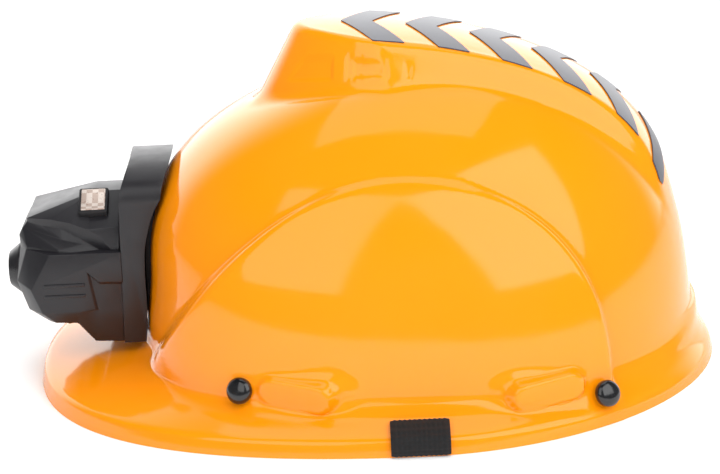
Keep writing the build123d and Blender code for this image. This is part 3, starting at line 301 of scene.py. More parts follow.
def shade(work, angle):
    """Smooth faces, with the edges that turn by more than the angle kept sharp."""
    for face in work.faces:
        face.smooth = True
    for edge in work.edges:
        edge.smooth = not edge.is_manifold or edge.calc_face_angle() < math.radians(angle)


def place_piece(name, work, mesh, body, instead):
    """The finished mesh as an object that rides a body and stands for a CAD node."""
    work.to_mesh(mesh)
    work.free()
    piece = bpy.data.objects.new(name, mesh)
    scene.collection.objects.link(piece)
    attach(piece, body)
    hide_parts(instead)
    return piece


def new_piece(name, work, material, body, instead, soft_edge=0.0, angle=28.0):
    """Closed piece from a bmesh in metres."""
    bmesh.ops.recalc_face_normals(work, faces=work.faces)
    if soft_edge:
        soften(work, soft_edge, least_facet_turn)
    shade(work, angle)
    mesh = bpy.data.meshes.new(name)
    mesh.materials.append(material)
    return place_piece(name, work, mesh, body, instead)


def from_corners(points, loops):
    """Bmesh of points in millimetres and the loops that join them into faces."""
    mesh = bpy.data.meshes.new("corners")
    mesh.from_pydata((np.array(points) * MM).tolist(), [], loops)
    work = bmesh.new()
    work.from_mesh(mesh)
    bpy.data.meshes.remove(mesh)
    return work


def smooth_copy(name, soft_edge=0.0, angle=30.0):
    """Merged copy of a CAD node with its edges softened."""
    source = nodes[name]
    mesh = source.data.copy()
    work = bmesh.new()
    work.from_mesh(mesh)
    bmesh.ops.remove_doubles(work, verts=work.verts, dist=2e-6)
    flat = math.radians(0.5)
    bmesh.ops.dissolve_limit(work, angle_limit=flat, verts=work.verts, edges=work.edges)
    bmesh.ops.recalc_face_normals(work, faces=work.faces)
    if soft_edge:
        soften(work, soft_edge, least_cad_turn)
    shade(work, angle)
    return place_piece(name + "_look", work, mesh, source["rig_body"], name)


# Shell sizes, in millimetres, as the CAD model has them.
wall = 2.5
centre = np.array([0.0, 25.0, 0.0])
brim_middle = 22.0
dome_height = 140.0
dome_half_width = 107.5
dome_front = 98.5
dome_rear = 150.0
# Level, width, front, rear and middle of the dome at each station, as shares.
dome_shares = [
    (0.08, 1.000, 1.000, 1.000, 1.30),
    (0.40, 0.930, 0.960, 0.962, 1.16),
    (0.62, 0.810, 0.880, 0.890, 1.02),
    (0.80, 0.620, 0.620, 0.760, 1.00),
    (0.92, 0.420, 0.240, 0.588, 1.08),
    (1.00, 0.230, -0.080, 0.370, 1.30),
]
panel_proud = 1.8
# Brim lip and the gutter's slope above it: width, front and rear.
brim_reach = np.array([126.0, 146.5, 157.5])
lip_height = 5.5
gutter_inset = 3.5
gutter_level = 8.0
gutter_rise = 14.0
gutter_narrowing = np.array([27.5, 73.0, 5.0])
brim_ceiling = 24.0
least_reach = 5.0
# Side arch.
arch_front = 94.0
arch_rear = 103.0
arch_top = 103.0
arch_crest = 17.0
arch_foot = 15.0
arch_front_flare = 6.0
arch_rear_flare = 1.0
arch_front_pull_shares = (0.16, 0.47)
arch_top_pull_share = 0.52
arch_rear_pull_shares = (0.55, 0.67)
# Crest line of the ridge, with the drop of its top towards the edges.
ridge_end = 142.0
crown_height = 153.8
crest_run_shares = [-0.45, 0.00, 0.16, 0.36, 0.555, 0.74, 0.88, 0.965, 1.00]
crest_height_shares = [0.998, 1.000, 0.986, 0.953, 0.896, 0.815, 0.700, 0.560, 0.400]
crest_drop_shares = [1.0, 1.0, 1.0, 1.1, 1.3, 1.6, 2.2, 3.2, 4.5]
crest_drop = 2.0
crest_tail = [(1.0, 30.0), (4.0, 0.0)]
ridge_half_width = 31.0
ridge_flank_lean = 26.0
# Blunt front of the ridge.
nose_level = 45.0
nose_front = 85.0
nose_length = 86.0
nose_half_width = 68.0
nose_lean = 29.0
nose_narrowing_share = 0.5
nose_pull_shares = (0.50, 0.45)
# Slot pockets: x, y, z, turn and droop of the front and the rear one.
pocket_places = [(100.2, -28.0, 20.5, -22.0, -5.0), (102.0, 73.5, 17.5, 19.0, 5.0)]
pocket_proud = 3.6
pocket_radius = 5.5
pocket_half_length = 16.0
pocket_flare = 20.0
# Span along the helmet, edge rounding and foot rounding of the pockets in the smooth form.
pocket_blend = (34, 2.0, 1.6)
# How far the looks then set each pocket out, with a crisper rim, so that it reads.
pocket_set_out = (2.8, 1.6)
pocket_rim = (30, 1.4, 1.0)
# Rounding of each form's own edges, and of the corner where it meets the form below.
panel_edge = 2.2
panel_foot = 1.2
ridge_edge = 3.5
ridge_foot = 4.0
brim_edge = 2.4
brim_foot = 7.0
# Search along each ray, which halves the span between these this many times.
nearest_skin = 5.0
farthest_skin = 260.0
halvings = 26


# Outlines and level tests of the shell's forms, each above zero inside its form.
def bezier(a, b, c, d, count=200):
    t = np.linspace(0, 1, count)[:, None]
    a, b, c, d = (np.array(v, float) for v in (a, b, c, d))
    return a * (1 - t) ** 3 + 3 * b * t * (1 - t) ** 2 + 3 * c * t**2 * (1 - t) + d * t**3


def quarter(pull):
    """Quarter of an egg with unit half axes: angle and reach of its points."""
    x, y = bezier((1, 0), (1, pull), (pull, 1), (0, 1), 400).T
    return np.arctan2(y, x), np.hypot(x, y)


def egg(front_pull, rear_pull):
    """Test of an egg outline: distance from its middle over that of the outline."""
    front, rear = quarter(front_pull), quarter(rear_pull)

    def ratio(p, half_width, ahead, behind, middle):
        back = p[:, 1] > middle
        reach = np.where(back, behind - middle, ahead + middle)
        u = np.abs(p[:, 0]) / half_width
        v = np.abs(p[:, 1] - middle) / reach
        angle = np.arctan2(v, u)
        edge = np.where(back, np.interp(angle, *rear), np.interp(angle, *front))
        return np.hypot(u, v) / edge

    return ratio


dome_egg = egg(0.66, 0.56)
panel_egg = egg(0.76, 0.66)
brim_egg = egg(0.66, 0.53)


def smooth_min(a, b, width):
    h = np.clip(0.5 + 0.5 * (b - a) / width, 0, 1)
    return b * (1 - h) + a * h - width * h * (1 - h)


def smooth_max(a, b, width):
    return -smooth_min(-a, -b, width)


def spline(xs, ys):
    """Natural cubic spline through points, as a function."""
    xs, ys = np.asarray(xs, float), np.asarray(ys, float)
    count = len(xs)
    h = np.diff(xs)
    a = np.eye(count)
    b = np.zeros(count)
    for i in range(1, count - 1):
        a[i, i - 1 : i + 2] = h[i - 1], 2 * (h[i - 1] + h[i]), h[i]
        b[i] = 6 * ((ys[i + 1] - ys[i]) / h[i] - (ys[i] - ys[i - 1]) / h[i - 1])
    c = np.linalg.solve(a, b)

    def value(x):
        x = np.clip(x, xs[0], xs[-1])
        i = np.clip(np.searchsorted(xs, x) - 1, 0, count - 2)
        s, e = x - xs[i], xs[i + 1] - x
        return (
            (c[i] * e**3 + c[i + 1] * s**3) / (6 * h[i])
            + (ys[i] / h[i] - c[i] * h[i] / 6) * e
            + (ys[i + 1] / h[i] - c[i + 1] * h[i] / 6) * s
        )

    return value


dome_level, *dome_columns = zip(*dome_shares)
dome_wide, dome_fore, dome_aft, dome_mid = (spline(dome_level, c) for c in dome_columns)


def dome_field(inset, outline, proud):
    def inside(p):
        share = p[:, 2] / (dome_height - inset)
        ratio = outline(
            p,
            dome_wide(share) * dome_half_width - inset + proud,
            dome_fore(share) * dome_front - inset + proud,
            dome_aft(share) * dome_rear - inset + proud,
            dome_mid(share) * brim_middle,
        )
        return np.minimum(1 - ratio, 1 - share)

    return inside


def lip_field(inset):
    def inside(p):
        reach = brim_reach[:, None] - p[:, 2] / lip_height
        ratio = brim_egg(p, *np.maximum(reach - inset, least_reach), brim_middle)
        return np.minimum(1 - ratio, brim_ceiling - p[:, 2])

    return inside


def gutter_field(inset):
    def inside(p):
        z = p[:, 2] + inset
        narrowing = gutter_narrowing[:, None] * (z - gutter_level) / gutter_rise
        reach = brim_reach[:, None] - gutter_inset - narrowing
        ratio = brim_egg(p, *np.maximum(reach - inset, least_reach), brim_middle)
        return np.minimum(1 - ratio, brim_ceiling - z)

    return inside


def polar(y, z):
    """Angle and reach, about the centre, of places in the side view."""
    return np.arctan2(z, y - centre[1]), np.hypot(y - centre[1], z)


def arch_outline(inset):
    front, rear, top = inset - arch_front, arch_rear - inset, arch_top - inset
    rise = top - arch_foot
    lean, lift = arch_front_pull_shares
    over, fall = arch_rear_pull_shares
    up = bezier(
        (front, arch_foot),
        (front + lean * (arch_crest - front), arch_foot + lift * rise),
        (front + arch_top_pull_share * (arch_crest - front), top),
        (arch_crest, top),
    )
    down = bezier(
        (arch_crest, top),
        (arch_crest + over * (rear - arch_crest), top),
        (rear, arch_foot + fall * rise),
        (rear, arch_foot),
    )
    return np.vstack([[(front - arch_front_flare, 0)], up, down[1:], [(rear + arch_rear_flare, 0)]])


def arch_field(inset):
    angle, reach = polar(*arch_outline(inset).T)
    order = np.argsort(angle)

    def inside(p):
        at, distance = polar(p[:, 1], p[:, 2])
        return np.interp(at, angle[order], reach[order]) - distance

    return inside


def crest_table(inset):
    """Crest line by angle: its reach, the cosine of its slope and the drop at its edges."""
    points = np.array(
        [
            (run * ridge_end, height * (crown_height - inset))
            for run, height in zip(crest_run_shares, crest_height_shares)
        ]
    )
    run = np.concatenate([[0], np.cumsum(np.hypot(*np.diff(points, axis=0).T))])
    s = np.linspace(0, run[-1], 600)
    line = np.stack([spline(run, points[:, 0])(s), spline(run, points[:, 1])(s)], 1)
    steps = np.linspace(0, run[-1], len(crest_drop_shares))
    drop = np.interp(s, steps, crest_drop_shares) * crest_drop
    line = np.vstack([line, [(ridge_end - back, level) for back, level in crest_tail]])
    drop = np.append(drop, [drop[-1]] * len(crest_tail))
    angle, reach = polar(*line.T)
    order = np.argsort(angle)
    angle, reach, drop = angle[order], reach[order], drop[order]
    return angle, reach, reach / np.hypot(reach, np.gradient(reach, angle)), drop


def crest_depth(p, table):
    """Depth under the crest line, and the drop at the edges there."""
    angle, reach, cosine, drop = table
    at, distance = polar(p[:, 1], p[:, 2])
    depth = (np.interp(at, angle, reach) - distance) * np.interp(at, angle, cosine)
    return depth, np.interp(at, angle, drop)


def ridge_top_field(inset):
    table = crest_table(inset)

    def inside(p):
        depth, drop = crest_depth(p, table)
        return depth - drop * np.minimum((p[:, 0] / (ridge_half_width - inset)) ** 2, 4.0)

    return inside


def ridge_side_field(inset):
    table = crest_table(inset)

    def inside(p):
        depth, drop = crest_depth(p, table)
        widening = np.tan(math.radians(ridge_flank_lean)) * (depth - drop)
        return ridge_half_width - inset + widening - np.abs(p[:, 0])

    return inside


def nose_field(inset):
    blunt, side = nose_pull_shares
    nose_x, nose_y = bezier((0, 0), (blunt, 0), (1, side), (1, 1)).T

    def inside(p):
        shrink = inset + (p[:, 2] - nose_level) * math.tan(math.radians(nose_lean))
        half = np.maximum(nose_half_width - nose_narrowing_share * shrink, least_reach)
        u = np.abs(p[:, 0]) / half
        curve = nose_length * np.interp(np.minimum(u, 1), nose_x, nose_y)
        front = p[:, 1] - (shrink - nose_front + curve)
        return np.minimum(front, (1 - u) * half + 0.001)

    return inside


def pocket_fields(place, set_out=0.0):
    """Tests of a slot pocket's flared side and of its flat top."""
    x, y, z, turn, droop = place
    turn, droop = math.radians(turn), math.radians(droop)
    out = np.array([math.cos(turn), math.sin(turn), 0])
    level = np.array([-math.sin(turn), math.cos(turn), 0])
    rise = np.array([0, 0, 1.0])
    along = math.cos(droop) * level + math.sin(droop) * rise
    up = math.cos(droop) * rise - math.sin(droop) * level
    middle = np.array([x, y, z]) + out * set_out

    def from_middle(p):
        return np.column_stack([np.abs(p[:, 0]), p[:, 1], p[:, 2]]) - middle

    def top(p):
        return pocket_proud - from_middle(p) @ out

    def side(p):
        q = from_middle(p)
        radius = pocket_radius + (pocket_proud - q @ out) * math.tan(math.radians(pocket_flare))
        over = np.maximum(np.abs(q @ along) - (pocket_half_length - pocket_radius), 0)
        return radius - np.hypot(over, q @ up)

    return side, top


def exit_distance(rays, inside):
    """Distance along each ray from the centre to where the test turns negative."""
    low = np.full(len(rays), nearest_skin)
    high = np.full(len(rays), farthest_skin)
    for _ in range(halvings):
        half = (low + high) / 2
        keep = inside(centre + rays * half[:, None]) > 0
        low = np.where(keep, half, low)
        high = np.where(keep, high, half)
    return (low + high) / 2


def with_pockets(rays, reach, set_outs, half_span, rounding, blend):
    """The reach with both pairs of slot pockets added."""
    for place, set_out in zip(pocket_places, set_outs):
        side, top = pocket_fields(place, set_out)
        pocket = smooth_min(exit_distance(rays, side), exit_distance(rays, top), rounding)
        near = np.abs(rays[:, 1] * reach + centre[1] - place[1]) < half_span
        reach = np.where(near, smooth_max(reach, pocket, blend), reach)
    return reach


def shell_reach(rays, inset):
    """Distance from the centre to the skin of the shell along each ray."""
    dome = exit_distance(rays, dome_field(inset, dome_egg, 0.0))
    panel = exit_distance(rays, dome_field(inset, panel_egg, panel_proud))
    panel = smooth_min(panel, exit_distance(rays, arch_field(inset)), panel_edge)
    reach = smooth_max(dome, panel, panel_foot)
    ridge = exit_distance(rays, ridge_top_field(inset))
    ridge = smooth_min(ridge, exit_distance(rays, ridge_side_field(inset)), ridge_edge)
    ridge = smooth_min(ridge, exit_distance(rays, nose_field(inset)), ridge_edge)
    reach = smooth_max(reach, ridge, ridge_foot)
    lip = exit_distance(rays, lip_field(inset))
    gutter = exit_distance(rays, gutter_field(inset))
    reach = smooth_max(reach, smooth_min(lip, gutter, brim_edge), brim_foot)
    return reach if inset else with_pockets(rays, reach, (0.0, 0.0), *pocket_blend)


# Blind recesses in the crest's flank, as outlines on its plane with their depths.
flank_middle = np.array([27.1, -6.1, 139.6])
flank_along = np.array([0.489, 0.872, 0.0])
flank_up = np.array([-0.235, 0.131, 0.963])
flank_reach = (40, 12, 9)
recess_wall = 1.3
recess_corner = 0.8
recesses = [
    ([(-25, -7.5), (-17.5, 4), (-2, 5.2), (-0.5, -5.5)], 1.0),
    ([(3.5, 6), (22, 6.2), (24.5, -2.2), (5, -4.6)], 0.8),
    ([(6.5, 4.4), (20, 4.6), (21.5, -0.9), (8, -2.9)], 0.7),
    ([(28, 4.4), (31.8, 4), (32.2, -1.6), (28.8, -1.9)], 0.8),
]


def recess_depth(points):
    """Depth of the blind recesses on both flanks of the crest at points of the skin."""
    q = np.column_stack([np.abs(points[:, 0]), points[:, 1], points[:, 2]]) - flank_middle
    u, v, n = q @ flank_along, q @ flank_up, q @ np.cross(flank_along, flank_up)
    near = np.all([np.abs(d) < most for d, most in zip((u, v, n), flank_reach)], axis=0)
    depth = np.zeros(len(points))
    for outline, deep in recesses:
        edge = np.full(len(points), 99.0)
        corners = np.array(outline, float)
        for a, b in zip(corners, np.roll(corners, -1, 0)):
            way = (b - a) / np.hypot(*(b - a))
            side = np.array([-way[1], way[0]])
            side = side * np.sign((corners.mean(0) - a) @ side)
            edge = smooth_min(edge, (u - a[0]) * side[0] + (v - a[1]) * side[1], recess_corner)
        depth += np.where(near, deep * np.clip(edge / recess_wall, 0, 1), 0)
    return depth


# Grids of rays: the outside is fine, and finest on the crest, and the inside is coarse.
brim_rise = 15.0
crest_rise = 62.0
outer_turns = 500
outer_rows = (48, 54, 78)
inner_turns = 125
inner_rows = (12, 28)
longest_cast = 0.4
# The skin follows the CAD no further out than this, and not at all where it lies this far in.
most_outward = 2.2
most_inward = 1.9
smoothing_rounds = 14
# Front foot of the side arch, which keeps its own smooth form: half x, y, z and radius.
foot_place = (60, -84, 20)
foot_radius = 24


def row_rises(limits, rows):
    """Rises of the rows, in radians, from a few limits in degrees."""
    limits = np.radians(limits)
    spans = zip(limits, limits[1:], rows)
    return np.concatenate([np.linspace(a, b, count, endpoint=False) for a, b, count in spans])


def ray_grid(turns, rises):
    angles = np.linspace(0, 2 * math.pi, turns, endpoint=False)
    turn, rise = np.meshgrid(angles, rises)
    rays = np.stack([np.cos(rise) * np.cos(turn), np.cos(rise) * np.sin(turn), np.sin(rise)], -1)
    return rays.reshape(-1, 3)


def node_tree(name):
    mesh = nodes[name].data
    triangles = [tuple(p.vertices) for p in mesh.polygons]
    return BVHTree.FromPolygons([v.co for v in mesh.vertices], triangles)


def stray_from_cad(rays, reach, shape):
    """How far the CAD skin lies from the smooth forms, limited and smoothed over the grid."""
    tree = node_tree("shell")
    start = Vector(centre * MM)
    stray = np.zeros(len(rays))
    for i, ray in enumerate(rays):
        way = Vector(ray)
        hit = tree.ray_cast(start + way * longest_cast, -way, longest_cast)
        if hit[0] is not None:
            stray[i] = (longest_cast - hit[3]) / MM - reach[i]
    inward = stray * np.clip(most_inward + stray, 0, 1)
    stray = np.where(stray > 0, np.minimum(stray, most_outward), inward).reshape(shape)
    for _ in range(smoothing_rounds):
        stray = (np.roll(stray, 1, 1) + np.roll(stray, -1, 1) + 2 * stray) / 4
        padded = np.vstack([stray[:1], stray, stray[-1:]])
        stray = (padded[:-2] + padded[2:] + 2 * stray) / 4
    return stray.ravel()


def outer_skin():
    """Outside of the shell as rows of points from the rim upwards."""
    rises = row_rises((0, brim_rise, crest_rise, 90), outer_rows)
    rays = ray_grid(outer_turns, rises)
    reach = shell_reach(rays, 0.0)
    skin = centre + rays * reach[:, None]
    x, y, z = (np.abs(skin) * (1, 0, 0) + skin * (0, 1, 1) - foot_place).T / foot_radius
    stray = stray_from_cad(rays, reach, (len(rises), outer_turns))
    reach = reach + stray * (1 - np.exp(-(x**2) - y**2 - z**2))
    reach = with_pockets(rays, reach, pocket_set_out, *pocket_rim)
    reach = reach - recess_depth(centre + rays * reach[:, None])
    return centre + rays * reach[:, None]


def inner_skin():
    """Inside of the shell, a wall's thickness in, as coarser rows of points."""
    rays = ray_grid(inner_turns, row_rises((0, brim_rise, 90), inner_rows))
    return centre + rays * shell_reach(rays, wall)[:, None]


def cap_loops(first, rows, turns):
    """Faces between the rows of a grid, closed by its pole, the point after the last row."""
    loops = []
    for j in range(rows - 1):
        for i in range(turns):
            n = (i + 1) % turns
            low, high = first + j * turns, first + (j + 1) * turns
            loops.append((low + i, low + n, high + n, high + i))
    last = first + (rows - 1) * turns
    loops += [(last + i, last + (i + 1) % turns, last + turns) for i in range(turns)]
    return loops


def build_shell():
    """One closed skin: the outside and inside grids, joined by the flat rim."""
    outer, inner = outer_skin(), inner_skin()
    outer_pole, inner_pole = outer[-outer_turns:].mean(0), inner[-inner_turns:].mean(0)
    base = len(outer) + 1
    loops = cap_loops(0, sum(outer_rows), outer_turns)
    loops += cap_loops(base, sum(inner_rows), inner_turns)
    step = outer_turns // inner_turns
    for i in range(inner_turns):
        ring = [(i * step + k) % outer_turns for k in range(step + 1)]
        loops.append([base + (i + 1) % inner_turns, base + i] + ring)
    work = from_corners(np.vstack([outer, [outer_pole], inner, [inner_pole]]), loops)
    skin = new_piece("shell_skin", work, shell_paint, "helmet", "shell", angle=50.0)


build_shell()
for name in ("stud_caps", "stud_screws", "ratchet_knob", "ridge_chevrons"):
    smooth_copy(name)


# Lamp bodies with flat facets, given by the corners of their right half in millimetres.
def facet_body(name, corners, faces, soft_edge):
    """Closed body of the corners and their mirrored twins, whose names end in a stroke."""
    names = list(corners)
    right = np.array([corners[n] for n in names])
    index = {n: i for i, n in enumerate(names)}
    index.update({n + "'": i + len(names) for i, n in enumerate(names)})
    loops = []
    for face in faces:
        loop = face.split()
        loops.append([index[n] for n in loop])
        if "'" not in face:
            loops.append([index[n + "'"] for n in reversed(loop)])
    work = from_corners(np.vstack([right, right * (-1, 1, 1)]), loops)
    new_piece(name, work, lamp_plastic, "lamp", "lamp_front_housing", soft_edge)


# Upper head of the lamp: sloping roof, long lids over the side wedges.
head_corners = {
    "r0": (16.8, -146.4, 75.7), "r1": (7.8, -116.7, 84.2), "r2": (7.8, -104.8, 84.2),
    "e1": (21.5, -135.5, 76.0), "e2": (24.0, -126.6, 74.5), "e3": (25.5, -119.0, 71.7),
    "e4": (26.5, -113.7, 68.7), "e5": (27.7, -107.6, 60.6),
    "s1": (26.0, -104.8, 72.8), "s2": (28.3, -104.8, 60.6),
    "k0": (15.0, -146.7, 73.7), "k1": (18.5, -140.0, 72.6), "k2": (21.0, -131.6, 71.6),
    "k3": (23.5, -122.9, 67.1), "k4": (26.3, -111.4, 60.6),
    "w0": (15.0, -148.8, 71.0), "w1": (23.5, -130.3, 66.8), "w2": (25.0, -122.1, 65.1),
    "t": (28.0, -132.1, 63.6), "t0": (28.4, -131.5, 60.6), "q0": (28.2, -120.0, 60.6),
    "w": (20.0, -147.0, 63.7), "wb": (20.3, -147.4, 60.6),
    "f1": (14.0, -150.8, 67.4), "f0": (14.0, -150.5, 60.6),
}
head_faces = [
    "r0 r0' r1' r1", "r1 r1' r2' r2", "r0 r1 e1", "e1 r1 e2", "e2 r1 e3", "e3 r1 r2 s1",
    "e3 s1 e4", "e4 s1 e5", "e5 s1 s2", "r0 e1 k1 k0", "e1 e2 k2 k1", "e2 e3 k3 k2",
    "e3 e4 k3", "e4 e5 k4 k3", "k0 k1 w1 w0", "k1 k2 w1", "k2 k3 w2 w1", "k3 k4 w2",
    "w0 w1 t", "w1 w2 t", "w2 k4 q0", "w2 q0 t", "t t0 q0", "w0 t w", "r0 k0 k0' r0'",
    "k0 w0 w0' k0'", "w0 f1 f1' w0'", "f1 f0 f0' f1'", "w0 w f1", "f1 w wb f0", "w t t0 wb",
    "f0 wb t0 q0 k4 e5 s2 s2' e5' k4' q0' t0' wb' f0'", "r2 s1 s2 s2' s1' r2'",
]
facet_body("lamp_head_look", head_corners, head_faces, 0.35)

# Lower case: square flanks with a stepped foot and a set-back rear panel.
case_corners = {
    "a1": (31.0, -136.1, 62.4), "a2": (31.0, -145.4, 46.7), "a3": (31.0, -141.0, 35.5),
    "a4": (28.5, -135.8, 30.2), "a5": (28.5, -126.2, 29.6), "a6": (28.5, -118.9, 20.8),
    "a7": (28.5, -104.8, 20.2), "a8": (31.0, -124.0, 35.5), "b1": (31.0, -104.8, 62.4),
    "g1": (31.0, -120.4, 53.9), "g2": (31.0, -115.3, 49.0), "g3": (31.0, -104.8, 48.6),
    "g4": (31.0, -117.4, 36.3), "h1": (29.8, -119.4, 52.6), "h2": (29.8, -114.9, 48.0),
    "h3": (29.8, -104.8, 47.6), "h4": (29.8, -116.4, 36.3), "h5": (29.8, -104.8, 36.0),
    "c1": (20.3, -147.4, 62.4), "c2": (21.0, -152.4, 48.0), "c3": (22.0, -148.0, 35.0),
    "c4": (22.0, -139.0, 28.8), "d1": (14.0, -150.6, 62.4), "d2": (16.0, -153.0, 48.0),
    "d3": (15.0, -149.5, 34.0),
}
case_faces = [
    "a1 b1 g3 g2 g1 g4 a8 a3 a2", "g3 h3 h2 g2", "g2 h2 h1 g1", "g1 h1 h4 g4", "h1 h2 h3 h5 h4",
    "h4 h5 a7 a6", "g4 h4 a6 a5 a8", "a3 a8 a5 a4", "c4 a4 a5 a5' a4' c4'", "a5 a6 a6' a5'",
    "a6 a7 a7' a6'", "a2 a3 c3 c2", "a3 a4 c4 c3", "c1 c2 a2 a1", "d1 c1 a1 b1 b1' a1' c1' d1'",
    "d1 d2 c2 c1", "d2 d3 c3 c2", "d3 c3 c4", "d1 d1' d2' d2", "d2 d2' d3' d3", "d3 d3' c4' c4",
    "b1 g3 h3 h5 a7 a7' h5' h3' g3' b1'",
]
facet_body("lamp_case_look", case_corners, case_faces, 0.5)


# Bezel, lens, reflector and emitter: turned pieces on the lamp's axis.
lamp_axis_height = 47.5


def turned(name, profile, material, instead):
    """Piece turned about the lamp's axis, from (radius, y) corners of its outline."""
    work = bmesh.new()
    corners = [work.verts.new((r * MM, y * MM, lamp_axis_height * MM)) for r, y in profile]
    for i, corner in enumerate(corners):
        j = (i + 1) % len(corners)
        if profile[i][0] or profile[j][0]:
            work.edges.new((corner, corners[j]))
    bmesh.ops.spin(
        work, geom=work.verts[:] + work.edges[:], cent=(0, 0, lamp_axis_height * MM), axis=(0, 1, 0),
        angle=2 * math.pi, steps=64, use_merge=True,
    )
    bmesh.ops.remove_doubles(work, verts=work.verts, dist=1e-6)
    new_piece(name, work, material, "lamp", instead)


bezel_profile = [
    (11.3, -149.5), (11.3, -153.1), (11.0, -153.6), (7.7, -157.8), (7.2, -158.0), (6.5, -157.8),
    (6.4, -157.4), (6.4, -149.5),
]
lens_profile = [(0.0, -157.3), (3.2, -157.2), (6.35, -156.7), (6.35, -156.0), (0.0, -156.2)]
reflector_profile = [
    (6.3, -155.8), (5.4, -154.9), (3.8, -154.0), (1.6, -153.5), (1.6, -153.2), (6.3, -153.2),
]
emitter_profile = [(0.0, -153.9), (1.5, -153.8), (1.5, -153.1), (0.0, -153.1)]
turned("lamp_bezel_look", bezel_profile, bezel_plastic, "lamp_bezel")
turned("lamp_lens_look", lens_profile, lens, "lamp_lens")
turned("lamp_reflector_look", reflector_profile, mirror_coat, "lamp_reflector")
turned("lamp_emitter_look", emitter_profile, phosphor, "lamp_emitter")

# Plate, screws and gasket: CAD copies bent, kept under the case's top and drawn in.
plate_levels = [62.0, 80.0, 90.0, 95.0, 99.0]
plate_leans = [0.0, 1.2, 2.8, 4.6, 6.4]
screw_ceiling = 60.2
gasket_level = 58.0
gasket_width_share = 0.72
gasket_height_share = 0.76
plate = smooth_copy("lamp_rear_housing", 0.5)
for vertex in plate.data.vertices:
    vertex.co.y += float(np.interp(vertex.co.z / MM, plate_levels, plate_leans)) * MM
for vertex in smooth_copy("case_screws").data.vertices:
    vertex.co.z = min(vertex.co.z, screw_ceiling * MM)
for vertex in smooth_copy("lamp_gasket").data.vertices:
    over = vertex.co.z - gasket_level * MM
    vertex.co.x *= gasket_width_share
    vertex.co.z = gasket_level * MM + over * gasket_height_share


# Ribs and button: boxes that lie on a facet of the lamp.
def facet_box(name, middle, along, out, sizes, levels, material, body, instead, soft_edge):
    """Box on a facet: its sizes along and across, and its inner and outer level."""
    along, out = Vector(along), Vector(out)
    across = Vector((0, 1, 0))
    inner, outer = levels
    axes = Matrix((along * sizes[0] * MM, across * sizes[1] * MM, out * (outer - inner) * MM))
    place = (Vector(middle) + out * (inner + outer) / 2) * MM
    work = bmesh.new()
    bmesh.ops.create_cube(work, size=1, matrix=Matrix.Translation(place) @ axes.transposed().to_4x4())
    new_piece(name, work, material, body, instead, soft_edge)


for level in (48.2, 43.2):
    facet_box(
        "lamp_rib_%d" % level, (31.0, -130.5, level), (0, 0, 1), (1, 0, 0), (1.5, 18.0), (-1.0, 0.5),
        lamp_plastic, "lamp", "lamp_front_housing", 0.4,
    )
roof_facet = ((14.3, -116.6, 80.1), (0.847, 0, -0.531), (0.531, 0, 0.847))
facet_box(
    "lamp_button_look", *roof_facet, (14.4, 13.0), (-3.0, 2.8), rubber, "button", "lamp_button", 0.9
)
facet_box(
    "lamp_button_face", *roof_facet, (12.0, 10.6), (2.0, 3.3), button_face, "button", "lamp_button", 0.4
)

# Webbing loops round the brim: outline in x and z, then place, width, thickness and ribs.
rib_relief = 0.16
rib_columns = 4
selvedge = 0.8
loop_outline = [
    (126.7, 1.1), (127.0, 4.5), (125.9, 8.0), (122.4, 10.2), (117.6, 12.6), (116.2, 11.6),
    (116.2, 6.0), (116.2, 1.8), (117.5, 1.1),
]
loop_steps = 160
loop_place = 20.9
loop_width = 24.4
loop_thickness = 1.2
loop_ribs = 12


def ribbon(name, path, across, width, thickness, instead, ribs, closed=False):
    """Woven band along a path, with raised ribs that run its length."""
    count = len(path)
    if closed:
        tangent = np.roll(path, -1, 0) - np.roll(path, 1, 0)
    else:
        tangent = np.gradient(path, axis=0)
    tangent = tangent / np.linalg.norm(tangent, axis=1, keepdims=True)
    normal = np.cross(tangent, across)
    normal = normal / np.linalg.norm(normal, axis=1, keepdims=True)
    columns = ribs * rib_columns + 1
    v = np.linspace(-width / 2, width / 2, columns)
    edge = np.clip((width / 2 - np.abs(v)) / selvedge, 0.25, 1.0)
    half = edge * (thickness / 2 + rib_relief * np.cos(2 * math.pi * ribs * v / width))
    lines = path[:, None] + across * v[None, :, None]
    swell = normal[:, None] * half[None, :, None]
    points = np.vstack([(lines + swell).reshape(-1, 3), (lines - swell).reshape(-1, 3)])
    back = count * columns
    loops = []
    for i in range(count if closed else count - 1):
        a, b = i * columns, (i + 1) % count * columns
        for j in range(columns - 1):
            loops.append((a + j, b + j, b + j + 1, a + j + 1))
            loops.append((back + a + j, back + a + j + 1, back + b + j + 1, back + b + j))
        for j in (0, columns - 1):
            loops.append((a + j, back + a + j, back + b + j, b + j))
    for i in () if closed else (0, count - 1):
        for a in range(i * columns, (i + 1) * columns - 1):
            loops.append((a, a + 1, back + a + 1, back + a))
    new_piece(name, from_corners(points, loops), webbing, "helmet", instead, angle=40.0)


def rounded_path(outline, steps):
    """Even points along a closed outline, its corners eased."""
    corners = np.array(outline + outline[:1], float)
    run = np.concatenate([[0], np.cumsum(np.linalg.norm(np.diff(corners, axis=0), axis=1))])
    s = np.linspace(0, run[-1], steps, endpoint=False)
    line = np.stack([np.interp(s, run, column) for column in corners.T], 1)
    for _ in range(5):
        line = (np.roll(line, 1, 0) + 2 * line + np.roll(line, -1, 0)) / 4
    return line


loop_line = rounded_path(loop_outline, loop_steps)
for side, name in ((1, "webbing_loop_right"), (-1, "webbing_loop_left")):
    loop_path = np.stack(
        [side * loop_line[:, 0], np.full(loop_steps, loop_place), loop_line[:, 1]], 1
    )
    across = np.array([0.0, 1.0, 0.0])
    ribbon(name + "_look", loop_path, across, loop_width, loop_thickness, name, loop_ribs, closed=True)


